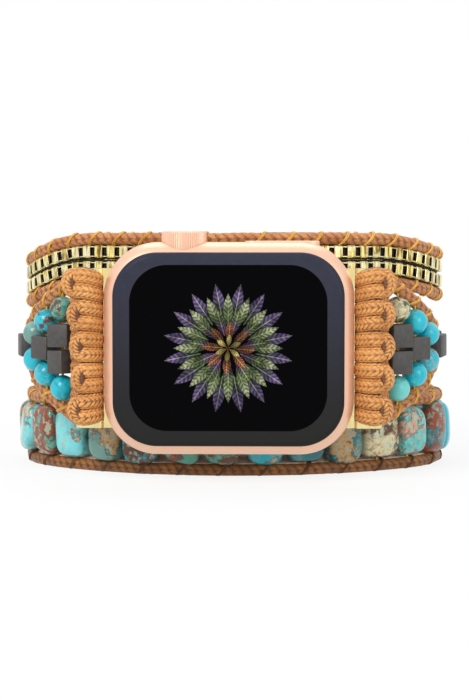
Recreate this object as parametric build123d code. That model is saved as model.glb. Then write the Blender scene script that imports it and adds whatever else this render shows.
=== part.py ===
from build123d import *
from math import atan2, cos, degrees, pi, radians, sin, sqrt, tan
import os

os.makedirs("parts", exist_ok=True)

# Wrist loop, seen from above: a flat curve behind the watch head, round sides and a straight back
loop_half_width = 35.8
loop_front = 25.5
side_radius = 19.5
liner_thickness = 0.6

# Watch head: width along X, height along Z, depth along Y
case_width = 40.0
case_height = 34.0
case_depth = 8.7
case_corner = 8.7
case_edge = 3.2
case_front = 37.9
head_middle = 21.64
glass_margin = 1.6
glass_thickness = 1.4
glass_edge = 1.0
glass_seat = 0.4
panel_side_margin = 4.35
panel_end_margin = 3.9
panel_corner = 6.0
panel_thickness = 0.9
cavity_side_margin = 5.6
cavity_end_margin = 3.0
cavity_corner = 3.0
cover_margin = 3.2
cover_thickness = 1.2
crystal_diameter = 22.0
crystal_proud = 1.0
crystal_seat = 0.4
crystal_edge = 0.5

# Parts inside the head, with heights and the two small parts' widths as shares of their room
inner_gap = 1.0
inner_split = 0.4
battery_thickness = 3.4
battery_height_share = 0.714
board_thickness = 0.8
board_height_share = 0.857
motor_thickness = 3.0
motor_width_share = 0.88
motor_height_share = 0.164
speaker_thickness = 2.6
speaker_width_share = 0.72
speaker_height_share = 0.214

# Crown and side button on the head's upper edge
crown_place = -7.2
crown_diameter = 7.2
crown_height = 3.1
crown_proud = 1.7
crown_flutes = 60
flute_depth = 0.12
crown_travel = 0.4
stem_diameter = 1.8
stem_reach = 1.8
stem_disc_diameter = 3.2
stem_disc_thickness = 0.5
seal_diameter = 3.3
seal_height = 0.6
button_place = 8.5
button_length = 12.0
button_width = 2.8
button_height = 1.4
button_proud = 0.2
button_travel = 0.3
plunger_diameter = 1.6

# Adapters that slide into the head's side channels
adapter_length = 25.6
rail_diameter = 3.3
rail_inset = 2.4
neck_thickness = 2.0
arm_thickness = 1.2
arm_width = 3.0
bar_diameter = 1.4
latch_diameter = 1.3
latch_length = 1.8
latch_proud = 0.5
latch_bore_depth = 2.6
spring_wall = 0.25

# Knotted cords on the adapter bars
knot_cord = 2.2
knot_pitch = 2.3
knots_per_side = 10
knot_front_run = 1.35
knot_back_run = 3.7
bump_length = 2.2
bump_depth = 3.2
bump_height = 4.78
bump_pitch = 4.9
bumps_per_side = 5
bump_round = 1.0

# Bead panels: columns that taper away from the knots, then a ladder of single beads
bead_route_angle = 30.0
bead_route_run = 3.5
bead_route_radius = 18.3
bead_diameter = 4.2
cube_size = 3.8
cube_edge = 0.3
bead_rise = 4.3
bead_row_rise = 9.6
first_column = 6.0
column_step = 4.2
ladder_step = 4.35
taper_lift = 0.35
kink_lift = 0.2

# Gold row: two rows of box links between two cords
gold_row_rise = 10.8
link_row_rise = 2.3
link_row_step = 2.65
gold_top_cord_rise = 2.15
left_dip = 4.0
right_dip = 2.7
dip_middle_share = 0.6
dip_reach_share = 0.3
link_length = 1.5
link_height = 2.1
link_depth = 1.9
link_wall = 0.4
link_step = 2.4
core_diameter = 0.9

# Stone row: nuggets between two cords
nugget_height = 7.8
nugget_depth = 4.6
nugget_step = 6.8
nugget_gap = 0.52
nugget_shift_share = 0.176
nugget_round = 1.7
nugget_width_shares = (1.0, 0.94, 1.03, 0.97, 1.05, 0.92, 1.02, 0.98, 0.95)
nugget_height_shares = (0.97, 1.0, 0.95, 0.99, 0.96, 1.0, 0.94, 0.98, 1.0)

# Waxed cords and threads
cord_diameter = 1.9
thread_diameter = 0.36
thread_bore = 0.9
whip_gap = 0.08
cord_run = 6.2
cord_share = 0.45

# End tabs, studs and hinged closing strap at the back
tab_inner_edge = 5.0
tab_width = 10.0
tab_thickness = 3.4
tab_top_wall = 0.4
tab_edge = 0.5
cord_seat = 2.5
stud_place = 10.0
stud_spread_share = 0.5
stud_head_diameter = 4.8
stud_head_height = 2.0
stud_neck_diameter = 2.6
stud_screw_diameter = 2.2
stud_foot_diameter = 4.4
stud_foot_thickness = 0.7
stud_round = 0.9
strap_thickness = 1.4
strap_height = 20.0
strap_end = 14.5
strap_round = 3.0
strap_lift = 0.45
hinge_place = -8.0
knuckle_diameter = 2.0
hinge_pin_diameter = 1.0
ear_height = 3.6
hinge_plate_width = 4.2
hinge_plate_thickness = 0.6
eyelet_wall = 0.6
eyelet_flange = 0.5
eyelet_flange_thickness = 0.2
eyelet_clearance = 0.5

# Clearances
running_gap = 0.05
fit_gap = 0.1
side_gap = 0.2
cord_sink = 0.05
overrun = 1.0

# Derived sizes of the wrist loop
front_radius = ((loop_half_width - side_radius) ** 2 + loop_front**2 - side_radius**2) / (
    2 * (loop_front - side_radius)
)
front_turn = atan2(loop_half_width - side_radius, front_radius - loop_front)
loop_back = side_radius
tab_outer_edge = tab_inner_edge + tab_width
case_middle_depth = case_front - case_depth / 2
case_back = case_front - case_depth
case_top = head_middle + case_height / 2
panel_width = case_width - 2 * panel_side_margin
panel_height = case_height - 2 * panel_end_margin
cavity_half_width = case_width / 2 - cavity_side_margin
cavity_half_height = case_height / 2 - cavity_end_margin
cord_radius = cord_diameter / 2
whip_radius = cord_radius + whip_gap + thread_diameter / 2
cord_to_bead = whip_radius + thread_diameter / 2 + whip_gap
bottom_cord_height = cord_radius - cord_sink
nugget_width = nugget_step - nugget_gap
nugget_middle = bottom_cord_height + cord_to_bead + nugget_height / 2
nugget_top_cord_height = nugget_middle + nugget_height / 2 + cord_to_bead
bead_middle = nugget_top_cord_height + bead_row_rise
gold_bottom_cord_height = bead_middle + gold_row_rise
gold_lower_height = gold_bottom_cord_height + link_row_rise
gold_upper_height = gold_lower_height + link_row_step
gold_top_cord_height = gold_upper_height + gold_top_cord_rise
tab_height = gold_top_cord_height + cord_radius + fit_gap + tab_top_wall

# Knot bar beside the case, with room for the cord's turn round it
knot_turn = bar_diameter / 2 + running_gap + knot_cord / 2
bar_place = case_width / 2 + side_gap + knot_turn + knot_cord / 2
rail_place = case_width / 2 - rail_inset

# Routes in plan for the right-hand half: start point, heading in degrees, then (length, radius) pieces
row_route = (
    (0, -loop_front),
    0,
    (
        (front_radius * front_turn, front_radius),
        (side_radius * (pi - front_turn), side_radius),
        (loop_half_width, 0),
    ),
)
bead_start_x = bar_place - knot_turn * sin(radians(bead_route_angle))
bead_start_y = -case_middle_depth + knot_turn * cos(radians(bead_route_angle))
bead_turn = radians(90 - bead_route_angle)
bead_side_x = (
    bead_start_x
    + bead_route_run * cos(radians(bead_route_angle))
    + bead_route_radius * (1 - sin(radians(bead_route_angle)))
)
bead_side_y = (
    bead_start_y
    + bead_route_run * sin(radians(bead_route_angle))
    + bead_route_radius * cos(radians(bead_route_angle))
)
bead_route = (
    (bead_start_x, bead_start_y),
    bead_route_angle,
    (
        (bead_route_run, 0),
        (bead_route_radius * bead_turn, bead_route_radius),
        (-bead_side_y, 0),
        (side_radius * pi / 2, side_radius),
        (loop_half_width, 0),
    ),
)

# Route lengths up to the edge of the end tab
row_bend_end = front_radius * front_turn + side_radius * (pi - front_turn)
row_end = row_bend_end + loop_half_width - side_radius - tab_outer_edge
bead_bend_end = bead_route_run + bead_route_radius * bead_turn - bead_side_y
bead_bend_end += side_radius * pi / 2
bead_end = bead_bend_end + bead_side_x - side_radius - tab_outer_edge
taper_end = first_column + 3 * column_step
ladder_beads = int((bead_end - taper_end - bead_diameter / 2 - side_gap) / ladder_step)

# The whole part is moved so that its box is centred on the origin
closure_reach = (
    loop_back + tab_thickness / 2 + strap_lift + strap_thickness + side_gap + stud_head_height
)
glass_front = case_front - glass_seat + glass_thickness
centre_shift = (glass_front - closure_reach) / 2

parts = {}


# Point, heading in radians and bend after a distance along a route
def walk(route, distance):
    (x, y), start_angle, pieces = route
    turn = radians(start_angle)
    bend = 0
    for length, radius in pieces:
        step = min(distance, length)
        if radius:
            bend = 1 / radius
            new_turn = turn + step / radius
            x += radius * (sin(new_turn) - sin(turn))
            y -= radius * (cos(new_turn) - cos(turn))
            turn = new_turn
        else:
            bend = 0
            x += step * cos(turn)
            y += step * sin(turn)
        distance -= step
        if distance <= 0:
            break
    return x, y, turn, bend


# Corner that lets the runs either side of it touch the route half a step away
def corner(route, distance, step, height):
    x, y, turn, bend = walk(route, distance)
    turned = walk(route, distance + step / 2)[2] - walk(route, distance - step / 2)[2]
    lift = turned * step / 8
    return x + lift * sin(turn), y - lift * cos(turn), height


# Place on a route: local X runs along it, local -Y points outward, side is 1 right or -1 left
def seat(route, distance, side, height, outward=0):
    x, y, turn, bend = walk(route, distance)
    return Location(
        (side * (x + outward * sin(turn)), y - outward * cos(turn), height),
        (0, 0, side * degrees(turn)),
    )


# Corner points over a route's bends: runs touch the route, so a cord's arcs lie on it
def corner_points(route, start, end, run, height):
    points = []
    piece_start = 0
    for length, radius in route[2]:
        low = max(start, piece_start)
        high = min(end, piece_start + length)
        piece_start += length
        if radius == 0 or high - low < fit_gap:
            continue
        count = max(1, round((high - low) / run))
        step = (high - low) / count
        for index in range(count):
            distance = low + (index + 0.5) * step
            points.append(corner(route, distance, step, height(distance)))
    return points


def mirrored(points):
    return [(-x, y, z) for x, y, z in points]


# Leave out points that lie in line with their neighbours
def with_turns(points):
    kept = [points[0]]
    for index in range(1, len(points) - 1):
        before = Vector(points[index]) - Vector(kept[-1])
        after = Vector(points[index + 1]) - Vector(points[index])
        if before.get_angle(after) > 1:
            kept.append(points[index])
    kept.append(points[-1])
    return kept


# Round tube along straight runs joined by arcs as large as the runs allow
def tube(name, points, diameter, share=cord_share):
    points = with_turns(points)
    bends = []
    for a, b, c in zip(points, points[1:], points[2:]):
        run_in = Vector(b) - Vector(a)
        run_out = Vector(c) - Vector(b)
        half_turn = radians(run_in.get_angle(run_out) / 2)
        bends.append(share * min(run_in.length, run_out.length) / tan(half_turn))
    path = FilletPolyline(*points, radius=bends)
    solid = sweep(Plane(origin=path @ 0, z_dir=path % 0) * Circle(diameter / 2), path=path)
    ideal = path.length * pi * diameter**2 / 4
    print(name, "least radius", round(min(bends), 2), "volume", round(solid.volume / ideal, 4))
    return solid


# Upright strip along a route between two outward offsets, both halves joined in front
def strip(route, end, inner, outer, bottom, top):
    boundaries = [0]
    for length, radius in route[2]:
        boundaries.append(min(end, boundaries[-1] + length))
    edges = []
    for offset in (inner, outer):
        for start, stop in zip(boundaries, boundaries[1:]):
            if stop - start < fit_gap:
                continue
            spots = []
            for distance in (start, (start + stop) / 2, stop):
                x, y, turn, bend = walk(route, distance)
                spots.append((x + offset * sin(turn), y - offset * cos(turn)))
            if bend:
                edges.append(ThreePointArc(*spots))
            else:
                edges.append(Line(spots[0], spots[2]))
    for distance in (0, end):
        x, y, turn, bend = walk(route, distance)
        low = (x + inner * sin(turn), y - inner * cos(turn))
        high = (x + outer * sin(turn), y - outer * cos(turn))
        edges.append(Line(low, high))
    half = extrude(Pos(0, 0, bottom) * make_face(edges), top - bottom)
    return half + mirror(half, about=Plane.YZ)


def keep(name, *solids):
    parts[name] = list(solids)


def rounded_slab(width, height, corner, depth):
    outline = Plane.XZ * RectangleRounded(width, height, corner)
    return extrude(outline, depth)


def y_cylinder(diameter, length):
    return Rot(90, 0, 0) * Cylinder(diameter / 2, length)


def x_cylinder(diameter, length):
    return Rot(0, 90, 0) * Cylinder(diameter / 2, length)


# Watch head: a case open at front and back, with channels down both sides
def head_at(depth):
    return Pos(0, -depth, head_middle)


def make_case():
    body = head_at(case_back) * rounded_slab(case_width, case_height, case_corner, case_depth)
    rims = body.edges().filter_by(Plane.XZ)
    body = fillet(rims, case_edge)
    glass_room = rounded_slab(
        case_width - 2 * glass_margin + 2 * running_gap,
        case_height - 2 * glass_margin + 2 * running_gap,
        case_corner - glass_margin,
        glass_seat + overrun,
    )
    body -= head_at(case_front - glass_seat) * glass_room
    panel_room = rounded_slab(
        panel_width + 2 * fit_gap,
        panel_height + 2 * fit_gap,
        panel_corner,
        panel_thickness + fit_gap + overrun,
    )
    body -= head_at(case_front - glass_seat - panel_thickness - fit_gap) * panel_room
    cavity = rounded_slab(
        2 * cavity_half_width, 2 * cavity_half_height, cavity_corner, case_depth
    )
    body -= head_at(case_back + cover_thickness / 2) * cavity
    cover_room = rounded_slab(
        case_width - 2 * cover_margin + 2 * running_gap,
        case_height - 2 * cover_margin + 2 * running_gap,
        case_corner - cover_margin,
        cover_thickness + overrun,
    )
    body -= head_at(case_back - overrun) * cover_room
    for side in (-1, 1):
        body -= make_channel(side)
    body -= crown_room()
    body -= button_room()
    return body


# Channel down one side: a round slot, its narrow mouth and the latch's groove
def make_channel(side):
    centre = Pos(side * rail_place, -case_middle_depth, head_middle)
    slot = centre * Cylinder(rail_diameter / 2 + fit_gap, case_height + overrun)
    mouth_width = rail_inset + overrun
    mouth = Pos(side * mouth_width / 2, 0, 0) * Box(
        mouth_width, neck_thickness + 2 * fit_gap, case_height + overrun
    )
    groove_depth = rail_diameter / 2 + latch_proud + fit_gap
    groove_height = case_height / 2 + overrun + latch_diameter / 2 + running_gap
    groove = Box(groove_depth, latch_diameter + 2 * fit_gap, groove_height)
    drop = latch_diameter / 2 + running_gap - groove_height / 2
    groove = Pos(-side * groove_depth / 2, 0, drop) * groove
    return slot + centre * mouth + centre * groove


def crown_room():
    middle = Pos(crown_place, -case_middle_depth, 0)
    pocket_floor = case_top + crown_proud - crown_height - crown_travel - fit_gap
    pocket_height = case_top - pocket_floor + overrun
    pocket = Cylinder(crown_diameter / 2 + fit_gap, pocket_height)
    pocket = Pos(0, 0, pocket_floor + pocket_height / 2) * pocket
    seal_room = Cylinder(seal_diameter / 2 + running_gap, seal_height + overrun)
    seal_room = Pos(0, 0, pocket_floor - (seal_height - overrun) / 2) * seal_room
    bore = Cylinder(stem_diameter / 2 + running_gap, case_height / 2)
    bore = Pos(0, 0, head_middle + cavity_half_height) * bore
    return middle * (pocket + seal_room + bore)


def button_room():
    middle = Pos(button_place, -case_middle_depth, 0)
    floor = case_top + button_proud - button_height - button_travel - fit_gap
    height = case_top - floor + overrun
    outline = SlotOverall(button_length + 2 * fit_gap, button_width + 2 * fit_gap)
    pocket = Pos(0, 0, floor) * extrude(outline, height)
    bore = Cylinder(plunger_diameter / 2 + running_gap, case_height / 2)
    bore = Pos(0, 0, head_middle + cavity_half_height) * bore
    return middle * (pocket + bore)


def make_glass():
    glass = rounded_slab(
        case_width - 2 * glass_margin,
        case_height - 2 * glass_margin,
        case_corner - glass_margin,
        glass_thickness,
    )
    glass = head_at(case_front - glass_seat) * glass
    return fillet(glass.faces().sort_by(Axis.Y)[0].edges(), glass_edge)


def make_back():
    cover = rounded_slab(
        case_width - 2 * cover_margin,
        case_height - 2 * cover_margin,
        case_corner - cover_margin,
        cover_thickness,
    )
    cover = head_at(case_back) * cover
    seat_room = y_cylinder(crystal_diameter + 2 * running_gap, 2 * crystal_seat)
    cover -= head_at(case_back) * seat_room
    crystal_thickness = crystal_seat + crystal_proud
    crystal_depth = case_back + crystal_seat - crystal_thickness / 2
    crystal = head_at(crystal_depth) * y_cylinder(crystal_diameter, crystal_thickness)
    crystal = fillet(crystal.faces().sort_by(Axis.Y)[-1].edges(), crystal_edge)
    return cover, crystal


# Battery, board, motor and speaker sit on the inside of the back cover, apart from each other
def make_insides():
    floor = case_back + cover_thickness + side_gap
    side = cavity_half_width - inner_gap
    room_height = 2 * cavity_half_height

    def seated(width, thickness, height, x, start, z):
        middle = Pos(x, -start - thickness / 2, head_middle + z)
        return middle * Box(width, thickness, height)

    width = side - inner_split
    height = battery_height_share * room_height
    battery = seated(width, battery_thickness, height, -side + width / 2, floor, -inner_gap)
    height = board_height_share * room_height
    board = seated(width, board_thickness, height, side - width / 2, floor, -inner_gap)
    board_front = floor + board_thickness + side_gap
    width = motor_width_share * side
    height = motor_height_share * room_height
    motor = seated(width, motor_thickness, height, side - width / 2, board_front, 0)
    width = speaker_width_share * side
    height = speaker_height_share * room_height
    low = -cavity_half_height + inner_gap + height / 2
    speaker = seated(width, speaker_thickness, height, side - width / 2, board_front, low)
    return battery, board, motor, speaker


# Crown: a fluted knob that turns on a stem, which slides in the case through a seal
def make_crown():
    middle = Pos(crown_place, -case_middle_depth, 0)
    knob_bottom = case_top + crown_proud - crown_height
    points = []
    for index in range(2 * crown_flutes):
        angle = pi * index / crown_flutes
        radius = crown_diameter / 2 - (flute_depth if index % 2 else 0)
        points.append((radius * cos(angle), radius * sin(angle)))
    knob = extrude(make_face(Polyline(*points, close=True)), crown_height)
    top = extrude(Circle(crown_diameter / 2 + fit_gap), crown_height)
    top = chamfer(top.faces().sort_by(Axis.Z)[-1].edges(), crown_height / 8)
    knob = knob & top
    knob -= extrude(Circle(stem_diameter / 2 + running_gap), stem_reach + fit_gap)
    knob = middle * Pos(0, 0, knob_bottom) * knob
    ceiling = head_middle + cavity_half_height
    disc_bottom = ceiling - running_gap - stem_disc_thickness
    stem = Pos(0, 0, disc_bottom) * extrude(Circle(stem_disc_diameter / 2), stem_disc_thickness)
    stem_length = knob_bottom + stem_reach - disc_bottom
    stem += Pos(0, 0, disc_bottom) * extrude(Circle(stem_diameter / 2), stem_length)
    pocket_floor = knob_bottom - crown_travel - fit_gap
    ring = Circle(seal_diameter / 2) - Circle(stem_diameter / 2 + running_gap / 2)
    seal = Pos(0, 0, pocket_floor - seal_height) * extrude(ring, seal_height)
    return knob, middle * stem, middle * seal


def make_button():
    bottom = case_top + button_proud - button_height
    cap = Pos(0, 0, bottom) * extrude(SlotOverall(button_length, button_width), button_height)
    cap = fillet(cap.faces().sort_by(Axis.Z)[-1].edges(), button_proud)
    reach = bottom - head_middle - cavity_half_height + button_travel
    plunger = Pos(0, 0, bottom - reach) * extrude(Circle(plunger_diameter / 2), reach)
    return Pos(button_place, -case_middle_depth, 0) * (cap + plunger)


# Adapter: a rail in the channel, a neck through its mouth and two arms that hold the bar
def make_adapter(side):
    rail = Cylinder(rail_diameter / 2, adapter_length)
    rail = fillet(rail.edges(), rail_diameter / 8)
    neck_reach = case_width / 2 + side_gap / 2 - rail_place
    neck = Pos(side * neck_reach / 2, 0, 0) * Box(neck_reach, neck_thickness, adapter_length)
    arm_start = case_width / 2 + side_gap / 2
    arm_end = bar_place + bar_diameter
    arm = Box(arm_end - arm_start, arm_width, arm_thickness)
    arm = fillet(arm.edges().filter_by(Axis.Z), bar_diameter / 2)
    arm_x = side * ((arm_start + arm_end) / 2 - rail_place)
    link = Box(2 * side_gap, neck_thickness, arm_thickness)
    body = rail + neck
    for end in (-1, 1):
        arm_z = end * (adapter_length - arm_thickness) / 2
        body += Pos(arm_x, 0, arm_z) * arm
        body += Pos(side * (arm_start - rail_place), 0, arm_z) * link
    bar_hole = Cylinder(bar_diameter / 2 + running_gap / 2, adapter_length + overrun)
    body -= Pos(side * (bar_place - rail_place), 0, 0) * bar_hole
    bore_centre = rail_diameter / 2 - latch_bore_depth / 2 + overrun / 2
    bore = x_cylinder(latch_diameter + 2 * running_gap, latch_bore_depth + overrun)
    body -= Pos(-side * bore_centre, 0, 0) * bore
    return Pos(side * rail_place, -case_middle_depth, head_middle) * body


def make_latch(side):
    centre = Pos(side * rail_place, -case_middle_depth, head_middle)
    pin_outer = rail_diameter / 2 + latch_proud
    pin = x_cylinder(latch_diameter, latch_length)
    pin = fillet(pin.faces().sort_by(Axis.X)[0 if side > 0 else -1].edges(), latch_diameter / 4)
    pin = centre * Pos(-side * (pin_outer - latch_length / 2), 0, 0) * pin
    bore_end = rail_diameter / 2 - latch_bore_depth
    spring_length = pin_outer - latch_length - bore_end
    spring = x_cylinder(latch_diameter, spring_length)
    spring -= x_cylinder(latch_diameter - 2 * spring_wall, spring_length + overrun)
    spring = centre * Pos(-side * (bore_end + spring_length / 2), 0, 0) * spring
    return pin, spring


def make_bar(side):
    bar = Cylinder(bar_diameter / 2, adapter_length)
    return Pos(side * bar_place, -case_middle_depth, head_middle) * bar


# Point beside the bar, along the bead route's first heading and outward from it
def bar_point(along, outward):
    angle = radians(bead_route_angle)
    x = bar_place + along * cos(angle) + outward * sin(angle)
    y = -case_middle_depth + along * sin(angle) - outward * cos(angle)
    return x, y


# Each knot cord runs out behind the beads, turns round the bar and comes forward again
def make_knot_legs(side):
    spots = [
        bar_point(knot_front_run, knot_turn),
        bar_point(0, knot_turn),
        bar_point(-knot_turn, 0),
        bar_point(0, -knot_turn),
        bar_point(knot_back_run, -knot_turn),
    ]
    path = Line(spots[0], spots[1]) + ThreePointArc(*spots[1:4]) + Line(spots[3], spots[4])
    section = Plane(origin=path @ 0, z_dir=path % 0) * Circle(knot_cord / 2)
    leg = sweep(section, path=path)
    legs = []
    for index in range(knots_per_side):
        height = head_middle + (index - (knots_per_side - 1) / 2) * knot_pitch
        placed = Pos(0, 0, height) * leg
        legs.append(placed if side > 0 else mirror(placed, about=Plane.YZ))
    return legs


# Rounded outer bumps of the knots, side by side down the panel's edge
def make_bumps(side):
    bump = fillet(Box(bump_length, bump_depth, bump_height).edges(), bump_round)
    along = knot_front_run + fit_gap + bump_length / 2
    back_leg_front = knot_turn - knot_cord / 2
    x, y = bar_point(along, bump_depth / 2 - back_leg_front + fit_gap)
    bumps = []
    for index in range(bumps_per_side):
        height = head_middle + (index - (bumps_per_side - 1) / 2) * bump_pitch
        turn = side * bead_route_angle
        bumps.append(Location((side * x, y, height), (0, 0, turn)) * bump)
    return bumps


# Bead columns: distance along the route, count of beads, and which of them are cubes
def bead_columns():
    columns = []
    for index, kinds in enumerate(("RCCR", "RCR", "RR", "C")):
        columns.append((first_column + index * column_step, kinds))
    for index in range(ladder_beads):
        kinds = "C" if index % 3 == 2 else "R"
        columns.append((taper_end + (index + 1) * ladder_step, kinds))
    return columns


def half_height(count):
    lift = taper_lift if count > 1 else 0
    return count * bead_rise / 2 - (bead_rise - bead_diameter) / 2 + cord_to_bead + lift


def make_beads(side):
    ball = Sphere(bead_diameter / 2) - Cylinder(thread_bore / 2, bead_diameter)
    cube = chamfer(Box(cube_size, cube_size, cube_size).edges(), cube_edge)
    cube -= Cylinder(thread_bore / 2, cube_size)
    balls, cubes = [], []
    for distance, kinds in bead_columns():
        for index, kind in enumerate(kinds):
            height = bead_middle + (index - (len(kinds) - 1) / 2) * bead_rise
            place = seat(bead_route, distance, side, height)
            if kind == "R":
                balls.append(place * ball)
            else:
                cubes.append(place * cube)
    return balls, cubes


# Thread stitch: a whip round each cord of a row, joined by the thread between them
def stitch(low, high, inward=0, slope=0):
    reach = sqrt(whip_radius**2 - inward**2)
    rod = Cylinder(thread_diameter / 2, high - low - 2 * reach)
    body = Pos(0, inward, (low + high) / 2) * rod
    for height, lean in ((low, -slope), (high, slope)):
        whip = Rot(0, 90 + lean, 0) * Torus(whip_radius, thread_diameter / 2)
        body += Pos(0, 0, height) * whip
    return body


def make_bead_threads(side):
    stitches = []
    columns = bead_columns()
    rises = [half_height(len(kinds)) for distance, kinds in columns]
    kink = len(columns) - ladder_beads - 1
    for index, (distance, kinds) in enumerate(columns):
        after = rises[min(index + 1, len(rises) - 1)]
        before = rises[index - 1] if index else 2 * rises[0] - rises[1]
        slope = degrees(atan2((before - after) / 2, column_step))
        place = seat(bead_route, distance, side, bead_middle)
        rise = rises[index] + (kink_lift if index == kink else 0)
        stitches.append(place * stitch(-rise, rise, 0, side * slope))
    return stitches


def make_bead_cords(side):
    start = knot_back_run + fit_gap + cord_radius / 2
    cords = []
    for end, word in ((1, "upper"), (-1, "lower")):
        spots = []
        x, y, turn, bend = walk(bead_route, start)
        fall = (half_height(4) - half_height(3)) / column_step
        rise = half_height(4) + fall * (first_column - start)
        spots.append((x, y, bead_middle + end * rise))
        for index in range(4):
            height = bead_middle + end * half_height(4 - index)
            distance = first_column + index * column_step
            spots.append(corner(bead_route, distance, column_step, height))

        def level(distance, end=end):
            return bead_middle + end * half_height(1)

        ladder_start = taper_end + ladder_step / 2
        spots += corner_points(bead_route, ladder_start, bead_bend_end, cord_run, level)
        x, y, turn, bend = walk(bead_route, bead_end + cord_seat)
        spots.append((x, y, bead_middle + end * half_height(1)))
        if side < 0:
            spots = mirrored(spots)
        cords.append(tube("bead cord " + word, spots, cord_diameter))
    return cords


# Dip of the gold row at the sides of the wrist
def dip(distance, side):
    depth = right_dip if side > 0 else left_dip
    away = min(abs(distance / row_end - dip_middle_share) / dip_reach_share, 1)
    return depth * cos(pi / 2 * away) ** 2


# The same dip at a cord's corner point, a little beyond it, so that the rounded cord meets it
def corner_dip(distance, side):
    before, after = dip(distance - cord_run / 2, side), dip(distance + cord_run / 2, side)
    return 2 * dip(distance, side) - (before + after) / 2


def row_cord(name, height, diameter, dips):
    halves = []
    for side in (-1, 1):
        def level(distance, side=side):
            return height - (corner_dip(distance, side) if dips else 0)

        spots = corner_points(row_route, 0, row_bend_end, cord_run, level)
        x, y, turn, bend = walk(row_route, row_end + cord_seat)
        spots.append((x, y, level(row_end)))
        halves.append(spots)
    points = mirrored(halves[0])[::-1] + halves[1]
    return tube(name, points, diameter)


# Places along the whole gold row, one per pitch, on both sides of the front's middle
def link_places():
    count = int((row_end - link_length / 2) / link_step + 1 / 2)
    places = []
    for side in (-1, 1):
        for index in range(count):
            places.append(((index + 0.5) * link_step, side))
    return places


def make_links(height):
    link = Box(link_length, link_depth, link_height)
    link -= Box(link_length + overrun, link_depth - 2 * link_wall, link_height - 2 * link_wall)
    links = []
    for distance, side in link_places():
        nearby = link_step / 2
        rise = dip(distance - nearby, side) - dip(distance + nearby, side)
        pitch = -degrees(atan2(rise, link_step)) * side
        level = height - dip(distance, side)
        place = seat(row_route, distance, side, level)
        links.append(place * Rot(0, pitch, 0) * link)
    return links


def make_gold_threads():
    stitches = []
    inward = core_diameter / 2 + thread_diameter / 2 + fit_gap
    low = gold_bottom_cord_height
    high = gold_top_cord_height
    count = int((row_end - link_step) / (2 * link_step))
    for side in (-1, 1):
        for index in range(count):
            distance = (index + 1) * 2 * link_step
            place = seat(row_route, distance, side, -dip(distance, side))
            stitches.append(place * stitch(low, high, inward))
    return stitches


# Drilled stone nuggets of slightly different widths and heights
def nugget_places():
    reach = row_end - nugget_width * max(nugget_width_shares) / 2
    first = -int(reach / nugget_step - nugget_shift_share)
    last = int(reach / nugget_step + nugget_shift_share)
    chain = [(index - nugget_shift_share) * nugget_step for index in range(first, last + 1)]
    return [(abs(place), -1 if place < 0 else 1) for place in chain]


def make_nuggets():
    nuggets = []
    for index, (distance, side) in enumerate(nugget_places()):
        width = nugget_width * nugget_width_shares[index % len(nugget_width_shares)]
        height = nugget_height * nugget_height_shares[index % len(nugget_height_shares)]
        nugget = fillet(Box(width, nugget_depth, height).edges(), nugget_round)
        nugget -= Cylinder(thread_bore / 2, height)
        nuggets.append(seat(row_route, distance, side, nugget_middle) * nugget)
    return nuggets


# Block under the floor, which flattens what would dip below it
def under_floor():
    return Pos(0, 0, -loop_front / 2) * Box(4 * loop_front, 4 * loop_front, loop_front)


def make_nugget_threads():
    stitches = []
    base = stitch(bottom_cord_height, nugget_top_cord_height) - under_floor()
    for distance, side in nugget_places():
        stitches.append(seat(row_route, distance, side, 0) * base)
    return stitches


# End tab with a drilled seat for every cord that ends in it
def make_tab(side):
    tab = Box(tab_width, tab_thickness, tab_height)
    tab = fillet(tab.edges().filter_by(Axis.Z), tab_edge)
    middle = side * (tab_inner_edge + tab_width / 2)
    tab = Pos(middle, loop_back, tab_height / 2) * tab
    seats = [
        (gold_top_cord_height, cord_diameter),
        (gold_upper_height, core_diameter),
        (gold_lower_height, core_diameter),
        (gold_bottom_cord_height, cord_diameter),
        (bead_middle + half_height(1), cord_diameter),
        (bead_middle - half_height(1), cord_diameter),
        (nugget_top_cord_height, cord_diameter),
        (bottom_cord_height, cord_diameter),
    ]
    depth = cord_seat + fit_gap
    for height, diameter in seats:
        hole = x_cylinder(diameter + 2 * fit_gap, depth + overrun)
        place = side * (tab_outer_edge - depth + (depth + overrun) / 2)
        tab -= Pos(place, loop_back, height) * hole
    return tab


def stud_heights():
    middle = tab_height / 2
    reach = strap_height * stud_spread_share / 2
    return middle - reach, middle + reach


# Stud: a foot let into the tab's inner face, a screw through it, a neck and a round head
def make_stud(height):
    face = loop_back + tab_thickness / 2
    head_start = face + strap_lift + strap_thickness + side_gap
    head = y_cylinder(stud_head_diameter, stud_head_height)
    head = fillet(head.edges(), stud_round)
    head = Pos(0, head_start + stud_head_height / 2, 0) * head
    neck_length = head_start - face + stud_round
    neck = Pos(0, face + neck_length / 2, 0) * y_cylinder(stud_neck_diameter, neck_length)
    screw_length = tab_thickness
    screw = Pos(0, loop_back, 0) * y_cylinder(stud_screw_diameter, screw_length)
    foot = Pos(0, loop_back - (tab_thickness - stud_foot_thickness) / 2, 0)
    foot = foot * y_cylinder(stud_foot_diameter, stud_foot_thickness)
    return Pos(stud_place, 0, height) * (head + neck + screw + foot)


def stud_room(height):
    bore = y_cylinder(stud_screw_diameter + 2 * running_gap, tab_thickness + overrun)
    seat_length = stud_foot_thickness + running_gap
    foot = Pos(0, -(tab_thickness - seat_length + overrun) / 2, 0)
    foot = foot * y_cylinder(stud_foot_diameter + 2 * running_gap, seat_length + overrun)
    return Pos(stud_place, loop_back, height) * (bore + foot)


# Hinge at the back: plate with two ears on the left tab, pin, and the strap's own knuckle
def hinge_depth():
    return loop_back + tab_thickness / 2 + strap_lift + strap_thickness / 2


def hinge_plate_height():
    return strap_height + 2 * (ear_height + side_gap)


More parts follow.
